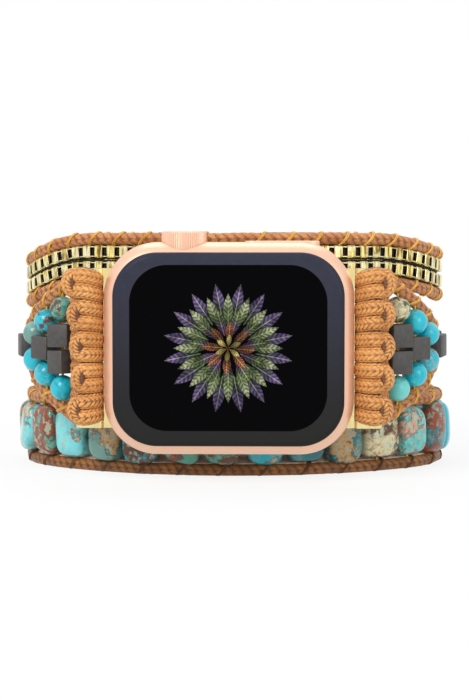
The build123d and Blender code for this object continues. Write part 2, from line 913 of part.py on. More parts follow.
def make_hinge_plate():
    height = hinge_plate_height()
    face = loop_back + tab_thickness / 2
    plate = Box(hinge_plate_width, hinge_plate_thickness, height)
    plate = Pos(hinge_place, face - hinge_plate_thickness / 2, tab_height / 2) * plate
    for end in (-1, 1):
        ear_z = tab_height / 2 + end * (height - ear_height) / 2
        barrel = Pos(hinge_place, hinge_depth(), ear_z)
        barrel = barrel * Cylinder(knuckle_diameter / 2, ear_height)
        foot_depth = hinge_depth() - face + hinge_plate_thickness
        foot = Pos(hinge_place, hinge_depth() - foot_depth / 2, ear_z)
        foot = foot * Box(knuckle_diameter, foot_depth, ear_height)
        plate += barrel + foot
    bore = Cylinder(hinge_pin_diameter / 2 + running_gap / 2, height + overrun)
    return plate - Pos(hinge_place, hinge_depth(), tab_height / 2) * bore


def plate_room():
    height = hinge_plate_height() + 2 * running_gap
    room_depth = hinge_plate_thickness + running_gap + overrun
    face = loop_back + tab_thickness / 2
    room = Box(hinge_plate_width + 2 * running_gap, room_depth, height)
    room_middle = face - hinge_plate_thickness - running_gap + room_depth / 2
    return Pos(hinge_place, room_middle, tab_height / 2) * room


def eyelet_hole():
    return stud_head_diameter + 2 * eyelet_clearance


def make_strap():
    length = strap_end - hinge_place
    strap = Box(length, strap_thickness, strap_height)
    strap = Pos(hinge_place + length / 2, hinge_depth(), tab_height / 2) * strap
    far_edges = strap.edges().filter_by(Axis.Y).sort_by(Axis.X)[-2:]
    strap = fillet(far_edges, strap_round)
    knuckle = Pos(hinge_place, hinge_depth(), tab_height / 2)
    strap += knuckle * Cylinder(knuckle_diameter / 2, strap_height)
    strap -= knuckle * Cylinder(hinge_pin_diameter / 2 + running_gap, strap_height + overrun)
    hole = y_cylinder(eyelet_hole() + 2 * eyelet_wall + 2 * running_gap, strap_thickness + overrun)
    for height in stud_heights():
        strap -= Pos(stud_place, hinge_depth(), height) * hole
    return strap


def make_eyelet(height):
    outer = eyelet_hole() / 2 + eyelet_wall
    ring = Circle(outer) - Circle(eyelet_hole() / 2)
    barrel = extrude(ring, strap_thickness / 2 + eyelet_flange_thickness, both=True)
    flange = Circle(outer + eyelet_flange) - Circle(eyelet_hole() / 2)
    flange = extrude(flange, eyelet_flange_thickness)
    lower = -strap_thickness / 2 - eyelet_flange_thickness
    body = barrel + Pos(0, 0, strap_thickness / 2) * flange + Pos(0, 0, lower) * flange
    return Pos(stud_place, hinge_depth(), height) * Rot(90, 0, 0) * body


def make_hinge_pin():
    pin = Cylinder(hinge_pin_diameter / 2, hinge_plate_height())
    return Pos(hinge_place, hinge_depth(), tab_height / 2) * pin


# The head and what it carries
keep("head_case", make_case())
keep("display_glass", make_glass())
panel_depth = case_front - glass_seat - panel_thickness
panel = rounded_slab(panel_width, panel_height, panel_corner, panel_thickness)
keep("display_panel", head_at(panel_depth) * panel)
back_cover, back_crystal = make_back()
keep("back_cover", back_cover)
keep("back_crystal", back_crystal)
battery, main_board, haptic_motor, speaker = make_insides()
keep("battery", battery)
keep("main_board", main_board)
keep("haptic_motor", haptic_motor)
keep("speaker", speaker)
crown_knob, crown_stem, crown_seal = make_crown()
keep("crown_knob", crown_knob)
keep("crown_stem", crown_stem)
keep("crown_seal", crown_seal)
keep("side_button", make_button())

# Both ends of the band at the head
for side, word in ((-1, "left"), (1, "right")):
    keep(word + "_adapter", make_adapter(side))
    keep(word + "_adapter_bar", make_bar(side))
    latch_pin, latch_spring = make_latch(side)
    keep(word + "_latch_pin", latch_pin)
    keep(word + "_latch_spring", latch_spring)
    keep(word + "_knot_legs", *make_knot_legs(side))
    keep(word + "_knot_bumps", *make_bumps(side))
    balls, cubes = make_beads(side)
    keep(word + "_round_beads", *balls)
    keep(word + "_cube_beads", *cubes)
    upper_cord, lower_cord = make_bead_cords(side)
    keep(word + "_bead_cord_upper", upper_cord)
    keep(word + "_bead_cord_lower", lower_cord)
    keep(word + "_bead_threads", *make_bead_threads(side))

# Gold row
keep("gold_cord_top", row_cord("gold cord top", gold_top_cord_height, cord_diameter, True))
bottom_cord = row_cord("gold cord bottom", gold_bottom_cord_height, cord_diameter, True)
keep("gold_cord_bottom", bottom_cord)
keep("gold_core_upper", row_cord("gold core upper", gold_upper_height, core_diameter, True))
keep("gold_core_lower", row_cord("gold core lower", gold_lower_height, core_diameter, True))
keep("gold_links_upper", *make_links(gold_upper_height))
keep("gold_links_lower", *make_links(gold_lower_height))
keep("gold_threads", *make_gold_threads())

# Stone row
keep("nuggets", *make_nuggets())
keep("nugget_threads", *make_nugget_threads())
top_cord = row_cord("nugget cord top", nugget_top_cord_height, cord_diameter, False)
keep("nugget_cord_top", top_cord)
bottom_cord = row_cord("nugget cord bottom", bottom_cord_height, cord_diameter, False)
keep("nugget_cord_bottom", bottom_cord - under_floor())
liner_outer = -nugget_depth / 2 - side_gap - fit_gap
keep(
    "nugget_liner",
    strip(
        row_route,
        row_end - fit_gap,
        liner_outer - liner_thickness,
        liner_outer,
        bottom_cord_height,
        nugget_top_cord_height,
    ),
)

# Closure at the back
low_stud, high_stud = stud_heights()
left_tab = make_tab(-1) - plate_room()
right_tab = make_tab(1) - stud_room(low_stud) - stud_room(high_stud)
keep("left_end_tab", left_tab)
keep("right_end_tab", right_tab)
keep("lower_stud", make_stud(low_stud))
keep("upper_stud", make_stud(high_stud))
keep("hinge_plate", make_hinge_plate())
keep("hinge_pin", make_hinge_pin())
keep("closing_strap", make_strap())
keep("strap_eyelets", make_eyelet(low_stud), make_eyelet(high_stud))

for name, solids in parts.items():
    placed = [Pos(0, centre_shift, 0) * solid for solid in solids]
    shape = placed[0] if len(placed) == 1 else Compound(children=placed)
    export_step(shape, "parts/" + name + ".step")
print(len(parts), "nodes, moved by", round(centre_shift, 4))
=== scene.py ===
from math import atan2, cos, pi, radians, sin

import bmesh
import bpy
import numpy as np
from mathutils import Matrix


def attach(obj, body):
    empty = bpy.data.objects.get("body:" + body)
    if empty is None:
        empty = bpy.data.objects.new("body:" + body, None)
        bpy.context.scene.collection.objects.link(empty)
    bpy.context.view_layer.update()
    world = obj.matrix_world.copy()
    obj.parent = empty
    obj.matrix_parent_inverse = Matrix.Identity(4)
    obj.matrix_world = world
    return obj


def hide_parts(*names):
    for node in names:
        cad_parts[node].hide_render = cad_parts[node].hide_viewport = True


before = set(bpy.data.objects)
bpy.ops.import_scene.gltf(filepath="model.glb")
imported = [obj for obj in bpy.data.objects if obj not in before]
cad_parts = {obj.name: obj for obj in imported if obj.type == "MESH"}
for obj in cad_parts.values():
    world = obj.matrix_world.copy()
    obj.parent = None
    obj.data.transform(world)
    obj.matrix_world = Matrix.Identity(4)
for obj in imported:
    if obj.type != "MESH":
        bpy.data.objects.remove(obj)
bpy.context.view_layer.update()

mm = 0.001
weld = 1e-7                # metres within which two corners become one
sides = ((-1, "left"), (1, "right"))
upright = np.array([0.0, 0.0, 1.0])
print("frame loaded:", len(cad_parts), "nodes")

# Places shared by several pieces, in millimetres, with the loop's centre as zero
loop = {
    "halfWidth": 35.8,
    "front": 25.5,
    "sideRadius": 19.5,
    "shift": 6.825,        # how far the loop's centre lies behind the origin
    "beadRun": 3.5,        # the bead route's straight start and the bend after it
    "beadRadius": 18.3,
    "tabInner": 5.0,
    "tabWidth": 10.0,
    "tabDepth": 3.4,
    "tabHeight": 40.25,
}
headMiddle = 21.64
bar = {"x": 23.15, "y": -33.55, "turn": 1.85, "angle": 30.0}
heights = {
    "goldTop": 39.14,
    "goldUpper": 36.99,
    "goldLower": 34.34,
    "goldBottom": 32.04,
    "leftDip": 4.0,        # how far the gold row hangs down at the left side
    "rightDip": 2.7,
    "dipMiddle": 0.6,      # where it hangs lowest, as a share of the row's half length
    "dipReach": 0.3,
    "beads": 21.24,
    "stoneTop": 11.64,
    "stoneMiddle": 6.27,
    "stoneBottom": 0.9,
}


# Routes round the wrist
def rowRoute():  # front curve, round side, straight back: (length, radius) pieces
    width, front, side = loop["halfWidth"], loop["front"], loop["sideRadius"]
    radius = ((width - side) ** 2 + front**2 - side**2) / (2 * (front - side))
    turn = atan2(width - side, radius - front)
    pieces = ((radius * turn, radius), (side * (pi - turn), side), (width, 0))
    return (0.0, -front), 0.0, pieces


def beadRoute():  # leaves the knots at their angle, then joins the rows' curve
    angle = radians(bar["angle"])
    run, radius, side = loop["beadRun"], loop["beadRadius"], loop["sideRadius"]
    x = bar["x"] - bar["turn"] * sin(angle)
    y = bar["y"] + bar["turn"] * cos(angle)
    straight = -(y + run * sin(angle) + radius * cos(angle))
    pieces = ((run, 0), (radius * (pi / 2 - angle), radius), (straight, 0),
              (side * pi / 2, side), (loop["halfWidth"], 0))
    return (x, y), bar["angle"], pieces


def walk(route, distance):  # places and headings at distances along a route, as arrays
    (x, y), heading, pieces = route
    left = np.asarray(distance, float)
    turn = np.full(left.shape, radians(heading))
    x, y = np.full(left.shape, float(x)), np.full(left.shape, float(y))
    for length, radius in pieces:
        step = np.clip(left, 0, length)
        if radius:
            after = turn + step / radius
            x = x + radius * (np.sin(after) - np.sin(turn))
            y = y - radius * (np.cos(after) - np.cos(turn))
            turn = after
        else:
            x, y = x + step * np.cos(turn), y + step * np.sin(turn)
        left = left - step
    return x, y, turn


rows = rowRoute()
beadRows = beadRoute()
tabReach = loop["sideRadius"] + loop["tabInner"] + loop["tabWidth"]
rowEnd = rows[2][0][0] + rows[2][1][0] + loop["halfWidth"] - tabReach
beadBend = sum(piece[0] for piece in beadRows[2][:4])
beadSideX = walk(beadRows, beadBend - loop["sideRadius"] * pi / 2)[0]
beadEnd = beadBend + float(beadSideX) - tabReach


# Centres and directions at places on a route: along it, and outward from the wrist
def place(route, distance, side, height, outward=0.0):
    x, y, turn = walk(route, distance)
    side = side + 0 * turn
    flat = 0 * turn
    along = np.stack([np.cos(turn), side * np.sin(turn), flat], -1)
    out = np.stack([side * np.sin(turn), -np.cos(turn), flat], -1)
    centre = np.stack([side * x, y + loop["shift"], height + flat], -1)
    return centre + outward * out, along, out


def dip(distance, side):  # the row falls by depth * cos^2 around its lowest place
    depth = np.where(np.asarray(side) > 0, heights["rightDip"], heights["leftDip"])
    away = np.abs(np.abs(distance) / rowEnd - heights["dipMiddle"])
    return depth * np.cos(pi / 2 * np.minimum(away / heights["dipReach"], 1)) ** 2


def dipSlope(distance, side):
    return -side * (dip(distance + 1, side) - dip(np.abs(distance - 1), side)) / 2


# Places all along a row, from its left end to its right one
def rowLine(reach, step, height, outward=0.0, dips=False):
    run = np.linspace(-reach, reach, int(2 * reach / step))
    side = np.where(run < 0, -1.0, 1.0)
    fall = dip(run, side) if dips else 0.0
    return place(rows, np.abs(run), side, height - fall, outward)


# Surfaces as grids of points
def fullTurn(count):  # angles round a circle, the first place again at the end
    return np.linspace(0, 2 * pi, count + 1)


def crossed(first, second):  # one value list down a grid, the other one across
    return np.meshgrid(first, second, indexing="ij")


def soft(values, power):  # sign * |value| ** power, which squares a circle below 1
    return np.sign(values) * np.abs(values) ** power


def grid(points, uv=None, **extra):  # rows of points joined by four-sided faces
    size = points.shape[:2]
    index = np.arange(size[0] * size[1]).reshape(size)
    corners = (index[:-1, :-1], index[1:, :-1], index[1:, 1:], index[:-1, 1:])
    shell = {"points": points.reshape(-1, 3)}
    shell["faces"] = np.stack(corners, -1).reshape(-1, 4)
    shell["uv"] = np.zeros((index.size, 2)) if uv is None else uv.reshape(-1, 2)
    for name, values in extra.items():
        shell[name] = np.broadcast_to(np.asarray(values, float), size).reshape(-1)
    return shell


def closed(points, path):  # both ends of a tube drawn together on its path
    first, last = [path[k, None, None].repeat(points.shape[1], 1) for k in (0, -1)]
    return np.concatenate([first, points, last])


def joined(shells):  # several shells as one
    start, faces = 0, []
    for shell in shells:
        faces.append(shell["faces"] + start)
        start += len(shell["points"])
    whole = {key: np.concatenate([s[key] for s in shells]) for key in shells[0]}
    whole["faces"] = np.concatenate(faces)
    return whole


def grounded(shell):  # nothing goes below the floor
    shell["points"][:, 2] = np.maximum(shell["points"][:, 2], 0)
    return shell


# A shape set at many places: centre + x * along - y * out + z * up
def stamp(shape, centre, along, out, up=upright, **extra):
    count = len(centre)
    points = np.broadcast_to(shape["points"], (count,) + shape["points"].shape[-2:])
    up = np.broadcast_to(up, centre.shape)
    x, y, z = points[..., 0:1], points[..., 1:2], points[..., 2:3]
    placed = centre[:, None] + x * along[:, None] - y * out[:, None] + z * up[:, None]
    size = points.shape[1]
    faces = shape["faces"][None] + (np.arange(count) * size)[:, None, None]
    shell = {"points": placed.reshape(-1, 3), "faces": faces.reshape(-1, 4)}
    for name in shape:
        if name not in shell:
            shell[name] = np.concatenate([shape[name]] * count)
    for name, values in extra.items():
        shell[name] = np.repeat(np.asarray(values, float), size, axis=0)
    return shell


# Frames along a path: its heading, then up squared to it, then out = heading x up
def frames(path, upward):
    heading = np.gradient(path, axis=0)
    heading /= np.linalg.norm(heading, axis=1, keepdims=True)
    up = upward - heading * (heading @ upward)[:, None]
    up /= np.linalg.norm(up, axis=1, keepdims=True)
    return np.cross(heading, up), up


# Herringbone braid: each column round the cord carries ridges |sin(pi * phase)|,
# whose phase leans one way in even columns and the other way in odd ones
def braid(angle, distance, style):
    across = angle * style["columns"] / (2 * pi)
    column = np.floor(across + 1e-9)
    part = across - column
    lean = np.where(column % 2 == 0, part, 1 - part) * style["slant"]
    ridge = np.abs(np.sin(pi * (distance / style["pitch"] + lean))) ** 0.55
    seam = np.minimum(part, 1 - part) * 2
    return ridge * (0.55 + 0.45 * np.clip(seam * 2.2, 0, 1))


# Braided cord along a path: circle (or oval) sections whose radius is
# radius * (1 - depth * (1 - braid)), closed at both ends
def cordShell(path, style, radius, flat=1.0, upward=upright, start=0.0):
    out, up = frames(path, upward)
    steps = np.linalg.norm(np.diff(path, axis=0), axis=1)
    distance = start + np.concatenate([[0], np.cumsum(steps)])
    d, a = crossed(distance, fullTurn(style["around"]))
    # the braid's ridges shape the cord and are also kept as an attribute for its painted
    # groove shade
    ridge = braid(a % (2 * pi), d, style)
    ridge[:, -1] = ridge[:, 0]
    radius = np.broadcast_to(radius, distance.shape)[:, None]
    size = radius * (1 - style["depth"] * (1 - ridge))
    across = (size * soft(np.cos(a), style["square"]) * flat)[..., None]
    rise = (size * soft(np.sin(a), style["square"]))[..., None]
    points = path[:, None] + across * out[:, None] + rise * up[:, None]
    uv = np.stack([a / (2 * pi), d / 10], -1)
    uv, ridge = [np.concatenate([part[:1], part, part[-1:]]) for part in (uv, ridge)]
    return grid(closed(points, path), uv, ridge=ridge)


# Block with round edges: points of a small sphere pushed apart by the block's core
def blockShape(width, depth, height, edge, steps=3):
    part = (np.arange(steps) + 0.5) / steps * pi / 2
    polar = np.concatenate([[0], part, part + pi / 2, [pi]])
    around = np.concatenate([part + k * pi / 2 for k in range(4)] + [part[:1] + 2 * pi])
    p, a = crossed(polar, around)
    ball = np.stack([np.sin(p) * np.cos(a), np.sin(p) * np.sin(a), np.cos(p)], -1)
    core = np.array([width, depth, height]) / 2 - edge
    push = np.sign(np.round(ball, 6))
    push[[0, -1], :, :2] = 0
    points = ball * edge + push * core
    points[[0, -1], :, 2] = np.array([1, -1])[:, None] * height / 2
    worn = 1 - np.abs(np.abs(ball).max(-1) - 0.62) * 2.2
    uv = np.stack([a / (2 * pi), p / pi], -1)
    return grid(points, uv, edge=np.clip(worn, 0, 1))


def added(name, data):  # an object in the scene
    made = bpy.data.objects.new(name, data)
    bpy.context.scene.collection.objects.link(made)
    return made


def finishPiece(name, mesh, material, body, slotName, replaced=(), sharp=40.0):
    shape = bmesh.new()
    shape.from_mesh(mesh)
    bmesh.ops.remove_doubles(shape, verts=shape.verts, dist=weld)
    bmesh.ops.recalc_face_normals(shape, faces=shape.faces)
    shape.to_mesh(mesh)
    shape.free()
    mesh.shade_smooth()
    mesh.set_sharp_from_angle(angle=radians(sharp))
    mesh.materials.clear()
    mesh.materials.append(material)
    piece = added(name, mesh)
    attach(piece, body)
    if replaced:
        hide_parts(*replaced)


def makePiece(name, shell, *settings):
    mesh = bpy.data.meshes.new(name)
    faces = shell["faces"].astype(np.int32)
    mesh.vertices.add(len(shell["points"]))
    mesh.vertices.foreach_set("co", (shell["points"] * mm).astype(np.float32).ravel())
    mesh.loops.add(faces.size)
    mesh.loops.foreach_set("vertex_index", faces.ravel())
    mesh.polygons.add(len(faces))
    starts = np.arange(0, faces.size, 4, dtype=np.int32)
    mesh.polygons.foreach_set("loop_start", starts)
    mesh.update(calc_edges=True)
    layer = mesh.uv_layers.new(name="UVMap").data
    layer.foreach_set("uv", shell["uv"][faces.ravel()].astype(np.float32).ravel())
    for key, values in shell.items():
        if key in ("points", "faces", "uv"):
            continue
        kind, word = ("FLOAT", "value") if values.ndim == 1 else ("FLOAT_COLOR", "color")
        layer = mesh.attributes.new(key, kind, "POINT").data
        layer.foreach_set(word, values.astype(np.float32).ravel())
    finishPiece(name, mesh, *settings)


# Materials: the helpers below add nodes to the tree that is kept here
making = {}


def shade(red, green, blue, share=1.0):  # a colour from 0 to 255, as the shader wants it
    values = np.array([red, green, blue]) * share / 255
    bright = ((values + 0.055) / 1.055) ** 2.4
    return (*np.where(values > 0.04045, bright, values / 12.92), 1.0)


def feed(made, inputs):  # each input is linked to an output or set to a value
    for key, value in inputs.items():
        if isinstance(value, bpy.types.NodeSocket):
            making["tree"].links.new(value, made.inputs[key])
        else:
            made.inputs[key].default_value = value


def node(kind, inputs=None, **settings):
    made = making["tree"].nodes.new("ShaderNode" + kind)
    for key, value in settings.items():
        setattr(made, key, value)
    feed(made, inputs or {})
    return made


def calc(operation, *values):
    return node("Math", dict(enumerate(values)), operation=operation).outputs[0]


def times(first, second):
    return calc("MULTIPLY", first, second)


def plus(first, second):
    return calc("ADD", first, second)


def minus(first, second):
    return calc("SUBTRACT", first, second)


def hypotenuse(first, second):
    return calc("SQRT", plus(times(first, first), times(second, second)))


def between(value, low, high, first=0.0, last=1.0):
    inputs = {"Value": value, "From Min": low, "From Max": high, "To Min": first,
              "To Max": last}
    return node("MapRange", inputs, interpolation_type="SMOOTHSTEP").outputs[0]


def mixed(factor, first, second):
    return node("Mix", {0: factor, 6: first, 7: second}, data_type="RGBA").outputs[2]


def speckle(where, scale, detail=4.0, rough=0.55, swirl=0.0):
    return node("TexNoise", {"Vector": where, "Scale": scale, "Detail": detail,
                             "Roughness": rough, "Distortion": swirl}).outputs[0]


def attribute(name, output="Fac"):
    return node("Attribute", attribute_name=name).outputs[output]


def bump(height, strength, distance):
    return node("Bump", {"Height": height, "Strength": strength,
                         "Distance": distance}).outputs[0]


def paint(material, **inputs):  # the surface's own inputs, with _ for a space
    surface = material.node_tree.nodes["Principled BSDF"]
    feed(surface, {key.replace("_", " "): value for key, value in inputs.items()})
    return material


def newFinish(name, **inputs):
    material = bpy.data.materials.new(name)
    material.use_nodes = True
    making["tree"] = material.node_tree
    return paint(material, **inputs), node("TexCoord").outputs["Object"]


# Waxed cord: painted shade in the braid's grooves and on other marked places, with soft
# patches and fine fibres
def cordFinish(name, light, dark, patch, groove=(0.25, 0.8)):
    material, where = newFinish(name, Roughness=0.62, Sheen_Weight=0.18,
                                Sheen_Roughness=0.4, Coat_Weight=0.06)
    patches = between(speckle(where, 190, 3), 0.35, 0.65)
    fibres = speckle(where, 2600, 3, 0.7, 0.4)
    base = mixed(patches, shade(*light), shade(*patch))
    base = mixed(between(fibres, 0.3, 0.75, 0, 0.5), base, shade(*dark))
    # painted shade: the lower the attribute, the more the cord takes its dark colour
    base = mixed(between(attribute("ridge"), *groove), shade(*dark), base)
    return paint(material, Base_Color=base, Normal=bump(fibres, 0.35, 0.00012))


# Stone: a base colour with a second one in bent clouds, dark round their edges,
# a net of cracks between cells, and fine specks
def stoneFinish(name, fine):
    material, where = newFinish(name, Specular_IOR_Level=0.35, Coat_Weight=0.3,
                                Coat_Roughness=0.08)
    base, vein = attribute("tone", "Color"), attribute("vein", "Color")
    share = attribute("share")
    bend = node("TexNoise", {"Vector": where, "Scale": 650 * fine, "Detail": 3.0})
    bend = node("VectorMath", {0: bend.outputs["Color"], 1: (0.5, 0.5, 0.5)},
                operation="SUBTRACT").outputs[0]
    bent = node("VectorMath", {0: bend, 1: (0.0016 / fine,) * 3, 2: where},
                operation="MULTIPLY_ADD").outputs[0]
    clouds = plus(speckle(bent, 270 * fine, 5, 0.6), share)
    cover = between(clouds, 0.955, 0.985)
    rim = times(between(clouds, 0.93, 0.96), between(clouds, 0.97, 1.0, 1, 0))
    cells = node("TexVoronoi", {"Vector": bent, "Scale": 520.0 * fine},
                 feature="DISTANCE_TO_EDGE").outputs["Distance"]
    net = between(cells, 0.01, 0.085, 1, 0)
    net = times(net, between(share, 0.2, 0.45, 0, 0.9))
    net = times(net, between(speckle(where, 210 * fine, 2), 0.4, 0.6))
    pale = between(speckle(bent, 360 * fine, 4), 0.5, 0.68, 0, 0.6)
    deep = between(speckle(where, 230 * fine, 3, 0.5, 1.5), 0.5, 0.68, 0, 0.6)
    base = mixed(pale, base, mixed(0.45, base, shade(150, 220, 214)))
    base = mixed(deep, base, mixed(0.6, base, shade(8, 78, 86)))
    sprinkled = between(speckle(bent, 1100 * fine, 5, 0.72), 0.53, 0.6, 0, 0.75)
    common = plus(speckle(where, 240 * fine, 3), share)
    sprinkled = times(sprinkled, between(common, 0.86, 0.98))
    base = mixed(sprinkled, base, mixed(0.4, vein, shade(206, 186, 140)))
    specks = between(speckle(where, 1900 * fine, 4, 0.7), 0.52, 0.62, 0, 0.8)
    vein = mixed(specks, vein, mixed(0.65, vein, shade(52, 30, 20)))
    blooms = between(speckle(bent, 900 * fine, 3), 0.5, 0.6, 0, 0.8)
    vein = mixed(blooms, vein, mixed(0.5, base, shade(214, 196, 160)))
    colour = mixed(net, base, mixed(0.3, vein, base))
    colour = mixed(cover, colour, vein)
    colour = mixed(times(rim, 0.6), colour, shade(58, 36, 24))
    return paint(material, Base_Color=colour, Roughness=between(cover, 0, 1, 0.2, 0.42),
                 Normal=bump(plus(rim, net), -0.3, 0.00012))


# Metal with a fine grain, which mottles its colour and its gloss
def metalFinish(name, colour, roughness, grain=900.0, strength=0.12, metallic=1.0,
                mottle=0.35):
    material, where = newFinish(name, Metallic=metallic)
    lines = speckle(where, grain, 3, 0.6)
    darker = between(lines, 0.3, 0.7, 0, mottle)
    return paint(material, Base_Color=mixed(darker, shade(*colour), shade(*colour, 0.86)),
                 Roughness=between(lines, 0.3, 0.7, roughness * 0.85, roughness * 1.2),
                 Normal=bump(lines, strength, 0.00005))


def leatherFinish(name, light, dark, grain=1400.0):
    material, where = newFinish(name, Roughness=0.58, Coat_Weight=0.08)
    cells = node("TexVoronoi", {"Vector": where, "Scale": grain}).outputs["Distance"]
    patches = between(speckle(where, 160, 5), 0.3, 0.7)
    base = mixed(patches, shade(*light), shade(*dark))
    base = mixed(between(cells, 0.45, 0.8, 0, 0.45), base, shade(*dark))
    return paint(material, Base_Color=base, Normal=bump(minus(1.0, cells), 0.4, 0.0001))


def plainFinish(name, colour, roughness, **inputs):  # moulded or painted parts
    material, where = newFinish(name, Roughness=roughness, **inputs)
    mottle = speckle(where, 700.0)
    darker = between(mottle, 0.3, 0.7, 0, 0.5)
    return paint(material, Base_Color=mixed(darker, shade(*colour), shade(*colour, 0.8)),
                 Normal=bump(mottle, 0.08, 0.00005))


# Link gold: upright streaks from dark to pale, near-white patches of painted highlight, a
# painted highlight along the edges and painted shade on the inner faces
def linkFinish():
    material, where = newFinish("linkGold", Metallic=0.85, Roughness=0.24)
    stretched = node("Mapping", {0: where, 3: (1.0, 1.0, 0.12)}).outputs[0]
    streaks = speckle(stretched, 2400, 3, 0.6)
    patches = speckle(where, 420, 3)
    base = mixed(between(streaks, 0.36, 0.64), shade(128, 96, 36), shade(255, 236, 146))
    # painted highlight: near-white patches on the gold
    base = mixed(between(patches, 0.42, 0.66, 0, 0.7), base, shade(255, 250, 210))
    # painted highlight along the drawn edges, painted shade on the inner faces
    worn = attribute("worn")
    base = mixed(between(worn, 0.5, 1.0), base, shade(255, 246, 196))
    base = mixed(between(worn, 0.0, 0.5, 1.0, 0.0), base, shade(84, 58, 20))
    return paint(material, Base_Color=base, Normal=bump(streaks, 0.3, 0.00006))


# Dark stone with worn, paler edges
def cubeFinish():
    material, where = newFinish("cubeStone", Roughness=0.5)
    dust = speckle(where, 1500, 5, 0.65)
    dusty = between(dust, 0.35, 0.75, 0, 0.6)
    base = mixed(dusty, shade(52, 50, 49), shade(80, 77, 74))
    base = mixed(times(attribute("edge"), 0.3), base, shade(128, 124, 120))
    return paint(material, Base_Color=base, Normal=bump(dust, 0.2, 0.00012))


waxedCord = cordFinish("waxedCord", (216, 146, 84), (118, 66, 28), (194, 122, 64))
darkCord = cordFinish("darkCord", (176, 114, 50), (80, 44, 16), (142, 88, 36))
knotCord = cordFinish("knotCord", (244, 172, 92), (78, 34, 12), (220, 146, 70),
                      (0.1, 0.84))
goldThread = cordFinish("goldThread", (238, 190, 84), (176, 118, 36), (222, 168, 60))
brownThread = cordFinish("brownThread", (120, 74, 30), (70, 40, 14), (104, 62, 24))
beadStone = stoneFinish("beadStone", 1.25)
nuggetStone = stoneFinish("nuggetStone", 0.9)
cubeStone = cubeFinish()
adapterGold = metalFinish("adapterGold", (240, 222, 160), 0.22)
antiqueBrass = metalFinish("antiqueBrass", (178, 140, 84), 0.34)
satinSteel = metalFinish("satinSteel", (190, 190, 194), 0.3)
roseMetal = metalFinish("roseMetal", (240, 196, 168), 0.36, 5200.0, 0.02, 0.6, 0.12)
linkGold = linkFinish()
coreBlack = plainFinish("coreBlack", (14, 12, 10), 0.8)
tabLeather = leatherFinish("tabLeather", (150, 92, 52), (96, 54, 28))
paleLiner = leatherFinish("paleLiner", (246, 220, 202), (226, 194, 172), 2200.0)
print("materials made")

# Edge cords of the three rows
ropes = {
    "radius": 1.03,
    "around": 20,
    "step": 0.2,
    "columns": 3,
    "pitch": 1.5,
    "slant": 1.3,
    "depth": 0.09,
    "square": 1.0,
    "sway": 0.06,          # how unevenly a cord lies
    "waves": (7, 13, 19),
    "intoTab": 1.6,
    "sharp": 70,
}


def swayed(path, seed):  # small slow waves, so that no cord lies perfectly even
    rng = np.random.default_rng(seed)
    part = np.linspace(0, 1, len(path))[:, None]
    for wave in ropes["waves"]:
        turn = rng.uniform(0, 2 * pi, 3)
        path = path + ropes["sway"] / 2 * np.sin(2 * pi * wave * part + turn)
    return path


def rowPath(height, dips=True):
    return rowLine(rowEnd + ropes["intoTab"], ropes["step"], height, 0.0, dips)[0]


rowCords = (
    ("goldCordTop", "goldTop", True, waxedCord, "waxed_cord", "gold_cord_top"),
    ("goldCordBottom", "goldBottom", True, waxedCord, "waxed_cord", "gold_cord_bottom"),
    ("stoneCordTop", "stoneTop", False, waxedCord, "waxed_cord", "nugget_cord_top"),
    ("stoneCordBottom", "stoneBottom", False, darkCord, "dark_cord",
     "nugget_cord_bottom"),
)
for index, (name, key, dips, material, slotName, part) in enumerate(rowCords):
    path = swayed(rowPath(heights[key], dips), index + 1)
    shell = grounded(cordShell(path, ropes, ropes["radius"]))
    makePiece(name, shell, material, "band", slotName, [part], ropes["sharp"])
print("row cords made")

# Bead columns: how far along the route, kinds from the lowest bead up
columns = {
    "first": 6.0,
    "step": 4.2,
    "ladderStep": 4.35,
    "ladderCube": 3,       # every third bead of the ladder is a cube
    "tabGap": 0.2,
    "kinds": ("RCCR", "RCR", "RR", "C"),
    "rise": 4.3,
    "bead": 4.2,
    "bore": 0.42,
    "boreWaist": 0.8,      # share of the bore between its two ends
    "boreHalf": 1.6,
    "cube": 3.8,
    "cubeEdge": 0.28,
    "cordStart": 3.4,
    "cordAway": 1.22,      # cord centre above the top bead
    "cordLead": 4.0,
    "cordBlend": 1.2,      # the cords' bends are smoothed over twice this length
    "taperLift": 0.15,
    "cordBehind": -0.45,   # the cords lie a little behind the beads' middle
    "cubeTurns": {-1: (8, -14, -10), 1: (14, 10, 16)},
    "cubeTurn": 6.0,       # degrees by which the other cubes turn
    "beadTip": 0.05,
    "cubeTip": 0.03,
}


def halfHeight(count):
    lift = columns["taperLift"] if count > 1 else 0
    rise, bead = columns["rise"], columns["bead"]
    return count * rise / 2 - (rise - bead) / 2 + columns["cordAway"] + lift


def beadColumns():
    found = [(columns["first"] + k * columns["step"], kinds)
             for k, kinds in enumerate(columns["kinds"])]
    taperEnd, step, every = found[-1][0], columns["ladderStep"], columns["ladderCube"]
    room = beadEnd - taperEnd - columns["bead"] / 2 - columns["tabGap"]
    for k in range(1, int(room / step) + 1):
        found.append((taperEnd + k * step, "R" if k % every else "C"))
    return found


columnList = beadColumns()
columnAt = np.array([distance for distance, kinds in columnList])
columnRise = np.array([halfHeight(len(kinds)) for distance, kinds in columnList])


# The bead cords follow the columns' half heights, smoothed over a short stretch
def beadRise(distance):
    lead = columns["cordLead"]
    slope = (columnRise[1] - columnRise[0]) / columns["step"]
    at = np.concatenate([[columnAt[0] - lead], columnAt])
    rise = np.concatenate([[columnRise[0] - lead * slope], columnRise])
    spread = np.linspace(-1, 1, 7) * columns["cordBlend"]
    return np.mean([np.interp(distance + shift, at, rise) for shift in spread], axis=0)


def beadCordPlace(distance, side, end):  # end is 1 for the upper cord, -1 for the lower
    height = heights["beads"] + end * beadRise(distance)
    return place(beadRows, distance, side, height, columns["cordBehind"])


